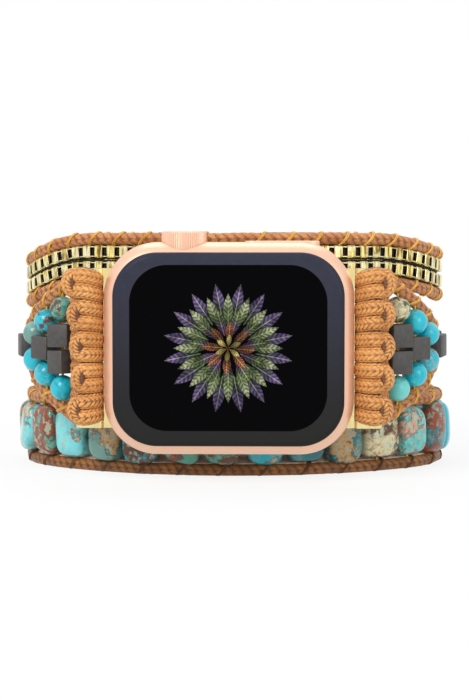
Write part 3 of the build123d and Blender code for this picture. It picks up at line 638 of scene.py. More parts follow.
for side, word in sides:
    stop = beadEnd + ropes["intoTab"]
    run = np.arange(columns["cordStart"], stop, ropes["step"])[::side]
    for end, level in ((1, "upper"), (-1, "lower")):
        path = swayed(beadCordPlace(run, side, end)[0], 10 + side + 2 * end)
        makePiece(word + "BeadCord" + level.capitalize(),
                  cordShell(path, ropes, ropes["radius"]), waxedCord, "band",
                  "waxed_cord", [word + "_bead_cord_" + level], ropes["sharp"])
print("bead cords made")

# Golden thread: leaning whips round the cords and the thread between them
threads = {
    "radius": 0.15,
    "reach": 1.12,         # from the cord's centre to the thread's
    "lean": 0.95,
    "strands": (-0.15, 0.15),
    "segments": 12,
    "sides": 4,
    "rodSides": 5,
    "goldInward": 0.75,    # the gold row's rods run behind its links
}


# Leaning ring: x = lean * sin(angle) + strand, and a circle of the given reach across
def whipShape():
    a, b = crossed(fullTurn(threads["segments"]), fullTurn(threads["sides"]))
    shapes = []
    for strand in threads["strands"]:
        away = threads["reach"] + threads["radius"] * np.cos(b)
        x = threads["lean"] * np.sin(a) + strand + threads["radius"] * np.sin(b)
        points = np.stack([x, -away * np.cos(a), away * np.sin(a)], -1)
        # painted shade: the ring is darker on the side that lies against the cord
        shapes.append(grid(points, np.stack([a, b], -1), ridge=np.cos(b) * 0.3 + 0.7))
    return joined(shapes)


# Two thin strands from the lower cord to the upper one, slightly apart
def rods(low, high, inward):
    z, b = crossed(np.linspace(0, 1, 5), fullTurn(threads["rodSides"]))
    shells = []
    for strand in threads["strands"]:
        x = strand * (0.4 + 0.5 * np.sin(pi * z)) + threads["radius"] * np.cos(b)
        y = inward - threads["radius"] * np.sin(b)
        shape = grid(np.stack([x, y, z], -1), np.stack([b, z], -1), ridge=0.8)
        shape["points"] = np.repeat(shape["points"][None], len(low[0]), 0)
        shape["points"][..., 2] *= (high[0] - low[0])[:, 2, None]
        shells.append(stamp(shape, *low))
    return joined(shells)


def leaning(along, slope):  # a direction raised by a slope, and up squared to it
    tilt = np.arctan(slope)[:, None]
    return (along * np.cos(tilt) + upright * np.sin(tilt),
            upright * np.cos(tilt) - along * np.sin(tilt))


whip = whipShape()
linkStep = 2.4
goldCount = int((rowEnd - linkStep) / (2 * linkStep))
goldAt = np.tile((np.arange(goldCount) + 1) * 2 * linkStep, 2)
goldSide = np.repeat([-1.0, 1.0], goldCount)
goldHigh, goldLow = [place(rows, goldAt, goldSide, heights[key] - dip(goldAt, goldSide))
                     for key in ("goldTop", "goldBottom")]
tilted, up = leaning(goldHigh[1], dipSlope(goldAt, goldSide))
shells = [stamp(whip, end[0], tilted, end[2], up) for end in (goldHigh, goldLow)]
shells.append(rods(goldLow, goldHigh, threads["goldInward"]))
makePiece("goldRowThreads", joined(shells), goldThread, "band", "thread",
          ["gold_threads"])

for side, word in sides:
    slope = np.gradient(beadRise(columnAt + np.array([[-0.5], [0.5]])), axis=0)[0]
    low, high = [beadCordPlace(columnAt, side, end) for end in (-1, 1)]
    shells = []
    for end, (centre, along, out) in ((-1, low), (1, high)):
        tilted, up = leaning(along, end * side * slope)
        shells.append(stamp(whip, centre, tilted, out, up))
    shells.append(rods(low, high, columns["cordBehind"]))
    makePiece(word + "BeadThreads", joined(shells), goldThread, "band", "thread",
              [word + "_bead_threads"])
print("threads of the gold and bead rows made")

# Stone row: rounded nuggets, each with its own size and colours
nuggets = {
    "step": 6.8,
    "shift": 0.176,        # share of a step by which the chain lies to the left
    "width": 6.5,
    "depth": 5.0,
    "height": 8.6,
    "widthShares": (1.0, 0.94, 1.03, 0.97, 1.05, 0.92, 1.02, 0.98, 0.95),
    "heightShares": (0.97, 1.0, 0.95, 0.99, 0.96, 1.0, 0.94, 0.98, 1.0),
    "square": 0.55,        # 1 is an egg, 0 a sharp box
    "bumps": 0.06,
    "waves": 4,
    "waveLength": 0.55,
    "taper": 0.07,
    "sharp": 80,
    "leftLooks": (         # base colour, vein colour and the veins' share
        ("green", "rust", 0.46), ("bright", "brown", 0.46), ("grey", "tan", 0.45),
        ("sky", "tan", 0.38), ("green", "rust", 0.53), ("sky", "tan", 0.4),
        ("teal", "tan", 0.44), ("light", "tan", 0.34)),
    "rightLooks": (
        ("green", "brown", 0.46), ("bright", "tan", 0.36), ("teal", "rust", 0.42),
        ("teal", "tan", 0.46), ("cream", "brown", 0.42), ("light", "pink", 0.45),
        ("teal", "rust", 0.47), ("bright", "moss", 0.32)),
}
stoneColours = {
    "bright": (22, 184, 204),
    "light": (104, 204, 200),
    "teal": (18, 122, 132),
    "green": (78, 164, 146),
    "grey": (108, 156, 148),
    "sky": (122, 216, 222),
    "cream": (226, 212, 168),
}
veinColours = {
    "rust": (140, 66, 40),
    "tan": (188, 150, 96),
    "brown": (96, 62, 38),
    "pink": (206, 164, 140),
    "moss": (60, 110, 74),
}


def toned(looks):  # attribute arrays from a list of (stone, vein, share)
    tone = [shade(*stoneColours[stone]) for stone, vein, share in looks]
    vein = [shade(*veinColours[vein]) for stone, vein, share in looks]
    return {"tone": tone, "vein": vein, "share": [share for stone, vein, share in looks]}


def drawnLooks(looks, pool, count, rng):  # the listed looks, then drawn ones
    extra = [pool[int(rng.integers(len(pool)))] for k in range(count - len(looks))]
    return (list(looks) + extra)[:count]


# Superellipsoid: soft(cos or sin) in both directions, times slow waves
def nuggetShell():
    reach = (rowEnd - nuggets["width"] / 2) / nuggets["step"]
    first = -int(reach - nuggets["shift"])
    last = int(reach + nuggets["shift"])
    chain = (np.arange(first, last + 1) - nuggets["shift"]) * nuggets["step"]
    at, side = np.abs(chain), np.where(chain < 0, -1.0, 1.0)
    p, a = crossed(np.linspace(-pi / 2, pi / 2, 19), fullTurn(28))
    east, north, top, wide = [soft(wave, nuggets["square"]) for wave in
                              (np.cos(a), np.sin(a), np.sin(p), np.cos(p))]
    ball = np.stack([wide * east, wide * north, top], -1)
    rng = np.random.default_rng(21)
    shapes = []
    for index in range(len(at)):
        kind = index % len(nuggets["widthShares"])
        width = nuggets["width"] * nuggets["widthShares"][kind]
        height = nuggets["height"] * nuggets["heightShares"][kind]
        shape = ball * np.array([width, nuggets["depth"], height]) / 2
        for wave in range(nuggets["waves"]):
            lean = rng.normal(size=3) * nuggets["waveLength"]
            slow = np.sin(ball @ lean * 3 + rng.uniform(0, 6))
            shape = shape * (1 + nuggets["bumps"] / 2 * slow)[..., None]
        taper = rng.uniform(-nuggets["taper"], nuggets["taper"], 2)
        shape[..., 0] *= 1 + taper[0] * ball[..., 2]
        shape[..., 2] *= 1 + taper[1] * ball[..., 0]
        shapes.append(shape.reshape(-1, 3))
    base = grid(ball, np.stack([a / (2 * pi), p / pi + 0.5], -1))
    base["points"] = np.array(shapes)
    pool = nuggets["leftLooks"] + nuggets["rightLooks"]
    looks = drawnLooks(nuggets["leftLooks"], pool, -first, rng)[::-1]
    looks += drawnLooks(nuggets["rightLooks"], pool, last + 1, rng)
    places = place(rows, at, side, heights["stoneMiddle"])
    return stamp(base, *places, **toned(looks)), at, side


shell, stoneAt, stoneSide = nuggetShell()
makePiece("stoneNuggets", shell, nuggetStone, "band", "turquoise", ["nuggets"],
          nuggets["sharp"])

high, low = [place(rows, stoneAt, stoneSide, heights[key])
             for key in ("stoneTop", "stoneBottom")]
makePiece("stoneRowLowerWhips", grounded(stamp(whip, *low)), brownThread, "band",
          "thread")
makePiece("stoneRowThreads", joined([stamp(whip, *high), rods(low, high, 0.0)]),
          goldThread, "band", "thread", ["nugget_threads"])

liner = {
    "inner": -3.2,
    "outer": -2.6,
    "low": 0.3,
    "high": 11.0,
    "step": 0.5,
    "rows": 26,
    "endGap": 0.1,
    "lip": 2.4,            # how far its lower edge swings out under the stones
    "lipTop": 3.0,
    "lipRise": 0.9,
}


# Suede strip behind the stones: a flat section carried along the row, with
# across = (1 - rise**8) ** 0.25, up the outer face and down the inner one
def linerShell():
    low, high, inner, outer = [liner[key] for key in ("low", "high", "inner", "outer")]
    path, along, out = rowLine(rowEnd - liner["endGap"], liner["step"],
                               (low + high) / 2, (inner + outer) / 2)
    share = np.linspace(-1, 1, liner["rows"])
    across = (outer - inner) / 2 * (1 - share**8) ** 0.25
    across = np.concatenate([across, -across[::-1]])[:, None]
    rise = (high - low) / 2 * np.concatenate([share, share[::-1]])[:, None]
    points = path[:, None] + across * out[:, None] + rise * upright
    lean = np.clip((liner["lipTop"] - points[..., 2:]) / liner["lipRise"], 0, 1)
    return grid(closed(points + liner["lip"] * lean**2 * out[:, None], path))


makePiece("stoneLiner", linerShell(), paleLiner, "band", "liner", ["nugget_liner"])
print("stone row made:", len(stoneAt), "nuggets")

# Round beads and cubes of the middle row
beadLooks = {
    -1: [("bright", "tan", 0.12), ("green", "brown", 0.44), ("bright", "tan", 0.34),
         ("bright", "brown", 0.42), ("bright", "tan", 0.1), ("grey", "brown", 0.3)],
    1: [("light", "tan", 0.2), ("cream", "moss", 0.42), ("bright", "tan", 0.1),
        ("bright", "brown", 0.18), ("bright", "tan", 0.44), ("bright", "brown", 0.12)],
}


# Drilled bead: a circle's arc outside and the bore inside, turned round the thread
def beadShape():
    radius, bore, half = columns["bead"] / 2, columns["bore"], columns["boreHalf"]
    waist = bore * columns["boreWaist"]
    first = np.arcsin(bore / radius)
    arc = np.linspace(first, pi - first, 15)
    across = np.concatenate([radius * np.sin(arc), [waist, waist, bore]])
    rise = np.concatenate([radius * np.cos(arc), [-half, half, radius * np.cos(first)]])
    a, r = crossed(fullTurn(22), across)
    return grid(np.stack([r * np.cos(a), r * np.sin(a), rise + 0 * a], -1))


def beadPlaces(side, kind):
    found = [(distance, index - (len(kinds) - 1) / 2) for distance, kinds in columnList
             for index in range(len(kinds)) if kinds[index] == kind]
    at, level = np.array(found).T
    return place(beadRows, at, side, heights["beads"] + level * columns["rise"])


bead = beadShape()
cube = blockShape(columns["cube"], columns["cube"], columns["cube"], columns["cubeEdge"])
rng = np.random.default_rng(33)
for side, word in sides:
    centre, along, out = beadPlaces(side, "R")
    looks = drawnLooks(beadLooks[side], beadLooks[-1] + beadLooks[1], len(centre), rng)
    tip = rng.normal(size=(len(centre), 1)) * columns["beadTip"]
    tilted, up = leaning(along, tip[:, 0])
    shell = stamp(bead, centre, tilted, out, up, **toned(looks))
    makePiece(word + "RoundBeads", shell, beadStone, "band", "turquoise",
              [word + "_round_beads"])
    centre, along, out = beadPlaces(side, "C")
    turns = rng.normal(size=len(centre)) * columns["cubeTurn"]
    turns[:3] = columns["cubeTurns"][side]
    turns = np.radians(turns)[:, None]
    along, out = (along * np.cos(turns) + out * np.sin(turns),
                  out * np.cos(turns) - along * np.sin(turns))
    tilted, up = leaning(along, rng.normal(size=len(centre)) * columns["cubeTip"])
    makePiece(word + "CubeBeads", stamp(cube, centre, tilted, out, up), cubeStone,
              "band", "black_stone", [word + "_cube_beads"])
print("beads made")

# Gold row: face links with open connectors between them, on a black core
links = {
    "length": 1.5,
    "height": 2.1,
    "depth": 1.9,
    "wall": 0.22,
    "edge": 0.2,
    "openLength": 1.3,
    "openHeight": 1.8,
    "openDepth": 1.3,
    "openEdge": 0.12,
    "coreRadius": 1.38,
    "coreFlat": 0.26,      # the black core is a ribbon, this much as thick as it is high
    "coreStride": 3,
    "sharp": 25,
}
coreStyle = {"around": 10, "columns": 2, "pitch": 1.2, "slant": 0.5, "depth": 0.08,
             "square": 1.0}


# Band link: an eight-sided frame carried along its length, its outer edges drawn in
def frameShape(length, depth, height, edge):
    def ring(inset):
        y, z = depth / 2 - inset, height / 2 - inset
        corners = [(y, z - edge), (y - edge, z), (-y + edge, z), (-y, z - edge),
                   (-y, -z + edge), (-y + edge, -z), (y - edge, -z), (y, -z + edge)]
        return corners + corners[:1]

    half = length / 2
    outer, drawn, inner = ring(0), ring(edge / 3), ring(links["wall"])
    profile = [(-half, inner), (-half, drawn), (-half + edge / 2, outer),
               (half - edge / 2, outer), (half, drawn), (half, inner), (-half, inner)]
    points = np.array([[(x, y, z) for y, z in corners] for x, corners in profile])
    uv = np.stack([points[..., 0] + points[..., 1], points[..., 2]], -1)
    # painted light: 1 on the drawn edges for a painted highlight, 0 on the inner faces for
    # painted shade
    return grid(points, uv, worn=np.array([0.0, 1.0, 0.5, 0.5, 1.0, 0.0, 0.0])[:, None])


def linkFrames(height, offset):
    count = int((rowEnd - links["length"] / 2) / linkStep + 0.5)
    at = np.tile((np.arange(count) + offset) * linkStep, 2)
    side = np.repeat([-1.0, 1.0], count)
    if offset == 1:        # and one in the very middle
        at, side = np.append(0.0, at), np.append(1.0, side)
    centre, along, out = place(rows, at, side, height - dip(at, side))
    tilted, up = leaning(along, dipSlope(at, side))
    return centre, tilted, out, up


faceLink = frameShape(links["length"], links["depth"], links["height"], links["edge"])
openLink = frameShape(links["openDepth"], links["openLength"], links["openHeight"],
                      links["openEdge"])
openLink["points"] = openLink["points"][:, [1, 0, 2]]
for word in ("Upper", "Lower"):
    height = heights["gold" + word]
    shells = [stamp(faceLink, *linkFrames(height, 0.5)),
              stamp(openLink, *linkFrames(height, 1))]
    makePiece("goldLinks" + word, joined(shells), linkGold, "band", "pale_gold",
              ["gold_links_" + word.lower()], links["sharp"])
    path = rowPath(height)[::links["coreStride"]]
    core = cordShell(path, coreStyle, links["coreRadius"], links["coreFlat"])
    makePiece("goldCore" + word, core, coreBlack, "band", "core_wire",
              ["gold_core_" + word.lower()])
print("gold links made")

# Knots: two legs round the adapter's bar and a fat outer turn, five times a side
knots = {
    "pitch": 5.06,
    "lift": 0.35,          # the knots sit a little above the bar's middle
    "barPitch": 2.3,
    "legApart": 1.26,
    "legRadius": 1.34,
    "turnRadius": 1.32,
    "step": 0.12,
    "turn": 1.97,          # the legs' own way round the bar
    "bulges": {-1: (0.3, -0.42, -0.15, 0.35, 1.35), 1: (0.78, 1.0, 1.07, 1.15, 1.25)},
    "legStarts": (3.5, 1.8, 0.1),
    "legAngles": (-60, -30, 0, 30, 58),
    # a leg dives beside the outer turn: along, share of the bulge, inward, apart
    "legDive": ((-0.45, 0.3, 0.3, 1.2), (0.0, 0.5, 0.95, 1.05),
                (0.3, 0.7, 1.6, 0.9), (0.5, 0.8, 2.0, 0.8)),
    # painted shade there and close to the case: share of its length, least light
    "creaseShades": ((0.85, 0.1), (0.36, 0.3)),
    "creaseShadeWidth": 0.06,
    # and painted shade against its neighbours, most against the next knot: where, over
    # what, least
    "touchShades": {1: (0.96, 0.14, 0.12), -1: (1.02, 0.08, 0.3)},
    "arc": 118,            # degrees to each side of the outer turn's middle
    "arcAlong": 0.55,
    "arcMiddle": 1.75,
    "arcOut": 0.6,
    "arcRise": 1.32,
    "thinner": 0.28,       # share that the outer turn loses towards its ends
    "turnShade": (1.1, 0.9, 0.3),  # light at its middle, growth across, least light
    "uneven": 0.015,       # how much the legs' radii differ
    "sharp": 75,
}
knotStyle = {"around": 40, "columns": 10, "pitch": 0.5, "slant": 1.1, "depth": 0.1,
             "square": 0.74}
turnStyle = {**knotStyle, "columns": 8, "square": 0.9}


def smoothPath(corners, step):  # an even path over a cubic through the corner points
    corners = np.array(corners, float)
    lengths = np.linalg.norm(np.diff(corners, axis=0), axis=1)
    at = np.concatenate([[0], np.cumsum(lengths)])
    t = np.linspace(0, at[-1], max(int(at[-1] / step), 8))
    slopes = np.gradient(corners, at, axis=0)
    index = np.clip(np.searchsorted(at, t, "right") - 1, 0, len(at) - 2)
    span = (at[index + 1] - at[index])[:, None]
    u = ((t - at[index]) / span[:, 0])[:, None]
    a, b = corners[index], corners[index + 1]
    ta, tb = slopes[index] * span, slopes[index + 1] * span
    return ((2 * u**3 - 3 * u**2 + 1) * a + (u**3 - 2 * u**2 + u) * ta
            + (3 * u**2 - 2 * u**3) * b + (u**3 - u**2) * tb)


def besideBar(side, corners):  # (along the knots' heading, outward, height) to space
    angle = radians(bar["angle"])
    c = np.array(corners, float)
    x = bar["x"] + c[:, 0] * cos(angle) + c[:, 1] * sin(angle)
    y = bar["y"] + c[:, 0] * sin(angle) - c[:, 1] * cos(angle) + loop["shift"]
    return np.stack([side * x, y, c[:, 2]], -1)


# painted shade: lowers the cord's shade attribute, which darkens its colour
def paintShade(shell, start, over, least):
    shell["ridge"] = shell["ridge"] * np.clip(start / over, least, 1)


def roundWaves(style, path, wave):  # cos or sin round every section of a cord
    return wave(np.tile(fullTurn(style["around"]), len(path) + 2))


def legShell(side, leg, index, middle, rng):
    turn, bulge = knots["turn"], knots["bulges"][side][index]
    barZ = headMiddle + (2 * index - 4 + leg / 2) * knots["barPitch"]
    lift = middle + leg * knots["legApart"] - barZ
    corners = [(x, -turn, barZ) for x in knots["legStarts"]]
    for a in np.radians(knots["legAngles"]):
        rise = lift * min(a / 2 + 0.5, 1)
        corners.append((-turn * cos(a), turn * sin(a), barZ + rise))
    corners += [(along + bulge * share, turn - inward, middle + leg * apart)
                for along, share, inward, apart in knots["legDive"]]
    path = smoothPath(besideBar(side, corners), knots["step"])
    radius = knots["legRadius"] * (1 + rng.normal() * knots["uneven"])
    shell = cordShell(path, knotStyle, radius, start=rng.uniform(0, 1))
    part = np.repeat(np.linspace(0, 1, len(path) + 2), knotStyle["around"] + 1)
    # painted shade where the leg dives beside the outer turn and close to the case
    for deep, least in knots["creaseShades"]:
        paintShade(shell, np.abs(part - deep), knots["creaseShadeWidth"], least)
    # painted shade where the legs press against their neighbours
    rise = leg * roundWaves(knotStyle, path, np.sin)
    for toward, (start, over, least) in knots["touchShades"].items():
        paintShade(shell, start - toward * rise, over, least)
    return shell


def turnShell(side, bulge, middle, rng):
    angle = np.radians(np.linspace(-knots["arc"], knots["arc"], 11))
    corners = np.stack([bulge + knots["arcAlong"] * (np.cos(angle) - 1),
                        knots["arcMiddle"] + knots["arcOut"] * np.cos(angle),
                        middle + knots["arcRise"] * np.sin(angle)], -1)
    path = smoothPath(besideBar(side, corners), knots["step"])
    share = np.linspace(-1, 1, len(path))
    radius = knots["turnRadius"] * (1 - knots["thinner"] * share**2)
    here, outward = besideBar(side, [(0, 0, 0), (0, 1, 0)])
    shell = cordShell(path, turnStyle, radius, 1.0, outward - here, rng.uniform(0, 1))
    light, growth, least = knots["turnShade"]
    paintShade(shell, light + growth * side * roundWaves(turnStyle, path, np.cos), 1, least)
    return shell


for side, word in sides:
    rng = np.random.default_rng(50 + side)
    shells = []
    for index, bulge in enumerate(knots["bulges"][side]):
        middle = headMiddle + knots["lift"] + (index - 2) * knots["pitch"]
        shells += [legShell(side, leg, index, middle, rng) for leg in (-1, 1)]
        shells.append(turnShell(side, bulge, middle, rng))
    makePiece(word + "Knots", joined(shells), knotCord, "band", "knot_cord",
              [word + "_knot_legs", word + "_knot_bumps"], knots["sharp"])
print("knots made")

# End tabs and closing strap
leatherwork = {
    "edge": 0.6,
    "edgeSteps": 4,
    "strapDepth": 1.4,
    "strapHeight": 20.0,
    "strapAway": 0.45,     # the strap's clear space behind the tabs
    "strapStart": -8.0,
    "strapEnd": 14.5,
    "strapRound": 3.0,
    "strapBevel": 0.3,
    "strapSharp": 50,
    "plateIn": 0.5,
    "rollOuter": 1.0,
    "rollInner": 0.58,
    "rollBevel": 0.15,
    "hole": 3.55,
    "studX": 10.0,
    "studRise": 5.0,
    "stitch": 2.6,
    "stitchLength": 1.9,
    "stitchRadius": 0.22,
    "tabSeam": (0.75, 0.06, 1.2),   # a seam's way in from the edge, face and end
    "strapSeam": (1.0, 0.05, 1.6),  # from the edge, face and hinge
}
tabY = loop["sideRadius"] + loop["shift"]
tabMiddle = loop["tabHeight"] / 2
strapY = tabY + (loop["tabDepth"] + leatherwork["strapDepth"]) / 2 \
    + leatherwork["strapAway"]
strapHalf = leatherwork["strapHeight"] / 2


# Stitch: a short bar with round ends, half sunk in the leather
def stitchShape():
    p, a = crossed(np.linspace(0, pi, 7), fullTurn(6))
    radius = leatherwork["stitchRadius"]
    half = leatherwork["stitchLength"] / 2 - radius
    z = radius * np.cos(p) + half * np.sign(np.round(np.cos(p), 6))
    across = radius * np.sin(p)
    return grid(np.stack([across * np.cos(a), across * np.sin(a), z], -1), ridge=0.85)


def stitchRow(start, end, face):  # stitches from one point to another on a y face
    start, end = np.array(start, float), np.array(end, float)
    length = np.linalg.norm(end - start)
    count = max(int(length / leatherwork["stitch"]), 2)
    part = (np.arange(count) + 0.5) / count
    centre = start + part[:, None] * (end - start)
    up = np.broadcast_to((end - start) / length, centre.shape)
    out = np.broadcast_to(np.array([0.0, face, 0.0]), centre.shape)
    return stamp(stitchShape(), centre, np.cross(up, -out), out, up)


tab = blockShape(loop["tabWidth"], loop["tabDepth"], loop["tabHeight"],
                 leatherwork["edge"], leatherwork["edgeSteps"])
for side, word in sides:
    x = side * (loop["tabInner"] + loop["tabWidth"] / 2)
    shell = stamp(tab, *np.array([[[x, tabY, tabMiddle]], [[1, 0, 0]], [[0, -1, 0]]]))
    makePiece(word + "EndTab", shell, tabLeather, "band", "leather", [word + "_end_tab"])
    shells = []
    inEdge, inFace, inEnd = leatherwork["tabSeam"]
    for edge in (-1, 1):
        for face in (-1, 1):
            at = (x + edge * (loop["tabWidth"] / 2 - inEdge),
                  tabY + face * (loop["tabDepth"] / 2 - inFace))
            shells.append(stitchRow((*at, inEnd), (*at, loop["tabHeight"] - inEnd), face))
    makePiece(word + "TabStitches", joined(shells), goldThread, "band", "thread")


# Strap plate: its outline and two eyelet holes filled flat, thickened with round edges
def strapPlate():
    end, bend = leatherwork["strapEnd"], leatherwork["strapRound"]
    inset = leatherwork["strapBevel"]
    start = leatherwork["strapStart"] + leatherwork["plateIn"]
    outline = [(start, inset - strapHalf), (start, strapHalf - inset)]
    for corner in (1, -1):
        for lean in np.linspace(0, pi / 2, 8)[::corner]:
            outline.append((end - bend + (bend - inset) * sin(lean),
                            corner * (strapHalf - bend + (bend - inset) * cos(lean))))
    curve = bpy.data.curves.new("strapPlate", "CURVE")
    curve.dimensions = "2D"
    curve.fill_mode = "BOTH"
    curve.extrude = (leatherwork["strapDepth"] / 2 - inset) * mm
    curve.bevel_depth = inset * mm
    curve.bevel_resolution = 3
    rings = [outline]
    radius = leatherwork["hole"] + inset
    for rise in (-leatherwork["studRise"], leatherwork["studRise"]):
        rings.append([(leatherwork["studX"] + radius * cos(t), rise + radius * sin(t))
                      for t in fullTurn(40)[:-1]])
    for ring in rings:
        spline = curve.splines.new("POLY")
        spline.points.add(len(ring) - 1)
        for point, (x, z) in zip(spline.points, ring):
            point.co = (x * mm, z * mm, 0, 1)
        spline.use_cyclic_u = True
    holder = added("strapPlateCurve", curve)
    bpy.context.view_layer.update()
    graph = bpy.context.evaluated_depsgraph_get()
    mesh = bpy.data.meshes.new_from_object(holder.evaluated_get(graph))
    bpy.data.objects.remove(holder)
    lift = Matrix.Translation((0, strapY * mm, tabMiddle * mm))
    mesh.transform(lift @ Matrix.Rotation(pi / 2, 4, "X"))
    return mesh


# The strap's end rolled round the hinge pin: a thick ring carried up the pin
def strapRoll():
    outer, inner, cut = [leatherwork[key] for key in
                         ("rollOuter", "rollInner", "rollBevel")]
    profile = np.array([(inner, -strapHalf), (outer - cut, -strapHalf),
                        (outer, -strapHalf + cut), (outer, strapHalf - cut),
                        (outer - cut, strapHalf), (inner, strapHalf),
                        (inner, -strapHalf)])
    a, across = crossed(fullTurn(28), profile[:, 0])
    x = leatherwork["strapStart"] + across * np.cos(a)
    y = strapY + across * np.sin(a)
    return grid(np.stack([x, y, profile[:, 1] + tabMiddle + 0 * a], -1))


makePiece("strapRoll", strapRoll(), tabLeather, "closing_strap", "leather")
finishPiece("closingStrap", strapPlate(), tabLeather, "closing_strap", "leather",
            ["closing_strap"], leatherwork["strapSharp"])

shells = []
inEdge, inFace, inHinge = leatherwork["strapSeam"]
left, right = leatherwork["strapStart"] + inHinge, leatherwork["strapEnd"] - inEdge
half, bend = strapHalf - inEdge, leatherwork["strapRound"]
for face in (-1, 1):
    y = strapY + face * (leatherwork["strapDepth"] / 2 - inFace)
    for z in (tabMiddle - half, tabMiddle + half):
        shells.append(stitchRow((left, y, z), (right - bend, y, z), face))
    shells.append(stitchRow((right, y, tabMiddle - half + bend),
                            (right, y, tabMiddle + half - bend), face))
makePiece("strapStitches", joined(shells), goldThread, "closing_strap", "thread")
print("tabs and strap made")


# The watch head: its glass with a slate border and a plain rosette of leaves
display = {
    "halfWidth": 15.65,
    "halfHeight": 13.15,
    "corner": 6.0,
    "edge": 0.06,
    "lift": 0.28,          # the picture's middle above the glass's
    "radius": 10.4,        # the rosette's reach
    "leafRings": (         # leaves, inner and outer radius, turn, tip and root colours
        (16, 0.42, 1.0, 0.0, (108, 88, 136), (44, 62, 40)),
        (16, 0.32, 0.84, 0.5, (164, 172, 132), (62, 84, 44)),
        (11, 0.2, 0.62, 0.25, (96, 116, 60), (72, 40, 92)),
        (8, 0.08, 0.42, 0.6, (158, 96, 62), (72, 40, 24)),
        (6, 0.0, 0.22, 0.1, (196, 186, 110), (110, 74, 34)),
    ),
}


# Leaf ring in shader maths: local is the angle from the nearest leaf's middle line,
# and a leaf covers it where local < 0.34 * sin(pi * t ** 0.75), t from root to tip
def leafRing(radius, angle, mottle, ring):
    count, low, high, phase, tip, root = ring
    t = calc("DIVIDE", minus(radius, low), high - low)
    inside = times(calc("GREATER_THAN", t, 0.0), calc("LESS_THAN", t, 1.0))
    safe = calc("MAXIMUM", t, 0.0001)
    turned = plus(times(angle, count / (2 * pi)), phase + 20.0)
    local = calc("ABSOLUTE", minus(calc("FRACT", turned), 0.5))
    width = times(calc("SINE", times(calc("POWER", safe, 0.75), pi)), 0.34)
    cover = times(between(minus(width, local), 0.0, 0.03), inside)
    barbs = plus(times(safe, 46.0), times(local, -24.0))
    barbs = between(calc("SINE", barbs), -0.8, 0.8, 0.35, 1.0)
    spine = between(local, 0.0, 0.035, 1.0, 0.0)
    colour = mixed(between(safe, 0.1, 0.95), shade(*root), shade(*tip))
    colour = mixed(barbs, shade(10, 14, 10), colour)
    colour = mixed(times(spine, 0.45), colour, shade(206, 200, 170))
    patchy = times(between(mottle, 0.35, 0.65, 0.35, 1.0),
                   between(safe, 0.7, 1.0, 1.0, 0.4))
    return cover, mixed(patchy, shade(4, 5, 4), colour)


# The border starts where the distance from a rounded box's core passes its corner radius
def glassFinish():
    material, where = newFinish("displayGlass", Roughness=0.12,
                                Specular_IOR_Level=0.03, Emission_Strength=0.25)
    parts = node("SeparateXYZ", {0: where}).outputs
    x = times(parts["X"], 1000.0)
    z = minus(times(parts["Z"], 1000.0), headMiddle + display["lift"])
    corner, edge, reach = [display[key] for key in ("corner", "edge", "radius")]
    beyond = [calc("MAXIMUM", minus(calc("ABSOLUTE", value), display[key] - corner), 0.0)
              for value, key in ((x, "halfWidth"), (z, "halfHeight"))]
    border = between(hypotenuse(*beyond), corner - edge, corner + edge)
    # painted light: the border is lighter and bluer towards the top, darker towards the
    # bottom
    slate = mixed(between(z, -14.0, 14.0), shade(40, 40, 39), shade(54, 55, 68))
    dust = between(speckle(where, 900, 2), 0.3, 0.7, 0, 0.15)
    slate = mixed(dust, slate, shade(36, 37, 42))
    u, v = calc("DIVIDE", x, reach), calc("DIVIDE", z, reach)
    radius, angle = hypotenuse(u, v), calc("ARCTAN2", v, u)
    mottle = speckle(where, 700, 3)
    picture = shade(2, 2, 3)
    for ring in display["leafRings"]:
        cover, colour = leafRing(radius, angle, mottle, ring)
        picture = mixed(cover, picture, colour)
    return paint(material, Base_Color=mixed(border, picture, slate),
                 Emission_Color=mixed(border, picture, shade(0, 0, 0)))


# Materials of the solids that are shown as they are
finishes = {
    "display_glass": glassFinish(),
    "display_panel": plainFinish("panelBlack", (14, 14, 16), 0.3),
    "back_cover": plainFinish("coverCeramic", (32, 32, 36), 0.12),
    "back_crystal": plainFinish("crystalDark", (18, 18, 22), 0.05, Coat_Weight=0.8),
    "battery": plainFinish("batteryFoil", (70, 70, 76), 0.4),
    "main_board": plainFinish("boardGreen", (24, 74, 48), 0.5),
    "crown_seal": plainFinish("sealRubber", (24, 24, 24), 0.8),
}
for material, names in (
        (roseMetal, ("head_case", "crown_knob", "side_button")),
        (satinSteel, ("crown_stem", "haptic_motor", "speaker", "left_adapter_bar",
                      "right_adapter_bar", "left_latch_pin", "right_latch_pin",
                      "left_latch_spring", "right_latch_spring")),
        (adapterGold, ("left_adapter", "right_adapter")),
        (antiqueBrass, ("strap_eyelets", "lower_stud", "upper_stud", "hinge_plate",
                        "hinge_pin"))):
    finishes.update(dict.fromkeys(names, material))
for name, material in finishes.items():
    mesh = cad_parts[name].data
    mesh.materials.clear()
    mesh.materials.append(material)
shown = [name for name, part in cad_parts.items() if not part.hide_render]
print("CAD parts still shown:", len(shown), "without a finish:",
      [name for name in shown if name not in finishes])

# Floor, lights and camera, in metres
studio = {
    "world": 0.62,
    "lamps": (             # place, width and power
        ((-0.4, -0.7, 0.6), 0.4, 5.0),
        ((0.55, -0.7, 0.3), 0.5, 2.0),
        ((0.0, 0.35, 0.7), 0.6, 1.6),
    ),
    "aim": (0, 0, 0.02),
    "floorHalf": 3.0,
    "floorDrop": 0.00002,
    "floorGlow": 0.85,
    "glowFrom": 0.09,      # the floor's own light grows to full between these distances
    "glowTo": 0.3,
}


def straightAhead():  # 1 for rays from the camera, a mirror or glass, 0 for light
    path = node("LightPath").outputs
    seen = calc("MAXIMUM", path["Is Camera Ray"], path["Is Glossy Ray"])
    return calc("MAXIMUM", seen, path["Is Transmission Ray"])


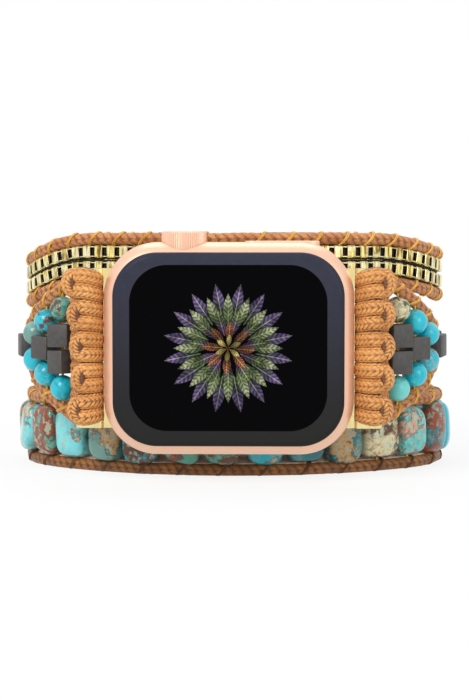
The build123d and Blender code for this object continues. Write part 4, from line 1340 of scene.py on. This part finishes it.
size = studio["floorHalf"]
floorMesh = bpy.data.meshes.new("floor")
floorMesh.from_pydata([(-size, -size, 0), (size, -size, 0), (size, size, 0),
                       (-size, size, 0)], [], [(0, 1, 2, 3)])
floor = added("floor", floorMesh)
floor.location.z = -studio["floorDrop"]
floorMaterial, where = newFinish("paleFloor")
floorNodes = floorMaterial.node_tree.nodes
floorNodes.remove(floorNodes["Principled BSDF"])
matte = node("BsdfDiffuse", {"Color": (0.9, 0.9, 0.9, 1)})
glow = node("Emission", {"Color": (1, 1, 1, 1), "Strength": 1.0})
away = node("VectorMath", {0: where}, operation="LENGTH").outputs["Value"]
glowing = between(away, studio["glowFrom"], studio["glowTo"], studio["floorGlow"], 1.0)
seen = times(straightAhead(), glowing)
blend = node("MixShader", {0: seen, 1: matte.outputs[0], 2: glow.outputs[0]})
feed(floorNodes["Material Output"], {"Surface": blend.outputs[0]})
floorMesh.materials.append(floorMaterial)

world = bpy.data.worlds.new("studio")
bpy.context.scene.world = world
world.use_nodes = True
making["tree"] = world.node_tree
level = node("MapRange", {"Value": straightAhead(), "To Min": studio["world"],
                          "To Max": 1.0})
feed(world.node_tree.nodes["Background"],
     {"Color": (1, 1, 1, 1), "Strength": level.outputs[0]})

for index, (spot, width, power) in enumerate(studio["lamps"]):
    lamp = bpy.data.lights.new("lamp%d" % index, "AREA")
    lamp.size = width
    lamp.energy = power
    holder = added("lamp%d" % index, lamp)
    holder.location = spot
    aim = np.array(studio["aim"]) - np.array(spot)
    aim /= np.linalg.norm(aim)
    holder.rotation_euler = (np.arccos(-aim[2]), 0, atan2(-aim[0], aim[1]))

view = {
    "glassFront": 37.9,    # from the loop's centre to the glass's front rim
    "away": 300.0,         # from the glass's front rim to the lens
    "x": 8.1,
    "z": 39.94,
    "down": 3.5,
    "yaw": 1.36,
    "focal": 97.66,
    "sensor": 36.0,
    "clip": 0.01,
}
lens = bpy.data.cameras.new("camera")
lens.sensor_fit = "VERTICAL"
lens.sensor_height = view["sensor"]
lens.lens = view["focal"]
lens.clip_start = view["clip"]
camera = added("camera", lens)
camera.location = (view["x"] * mm, (loop["shift"] - view["glassFront"] - view["away"]) * mm,
                   view["z"] * mm)
camera.rotation_euler = (radians(90 - view["down"]), 0, radians(view["yaw"]))
bpy.context.scene.camera = camera
bpy.context.scene.view_settings.view_transform = "Standard"
print("stage, lamps and camera set")
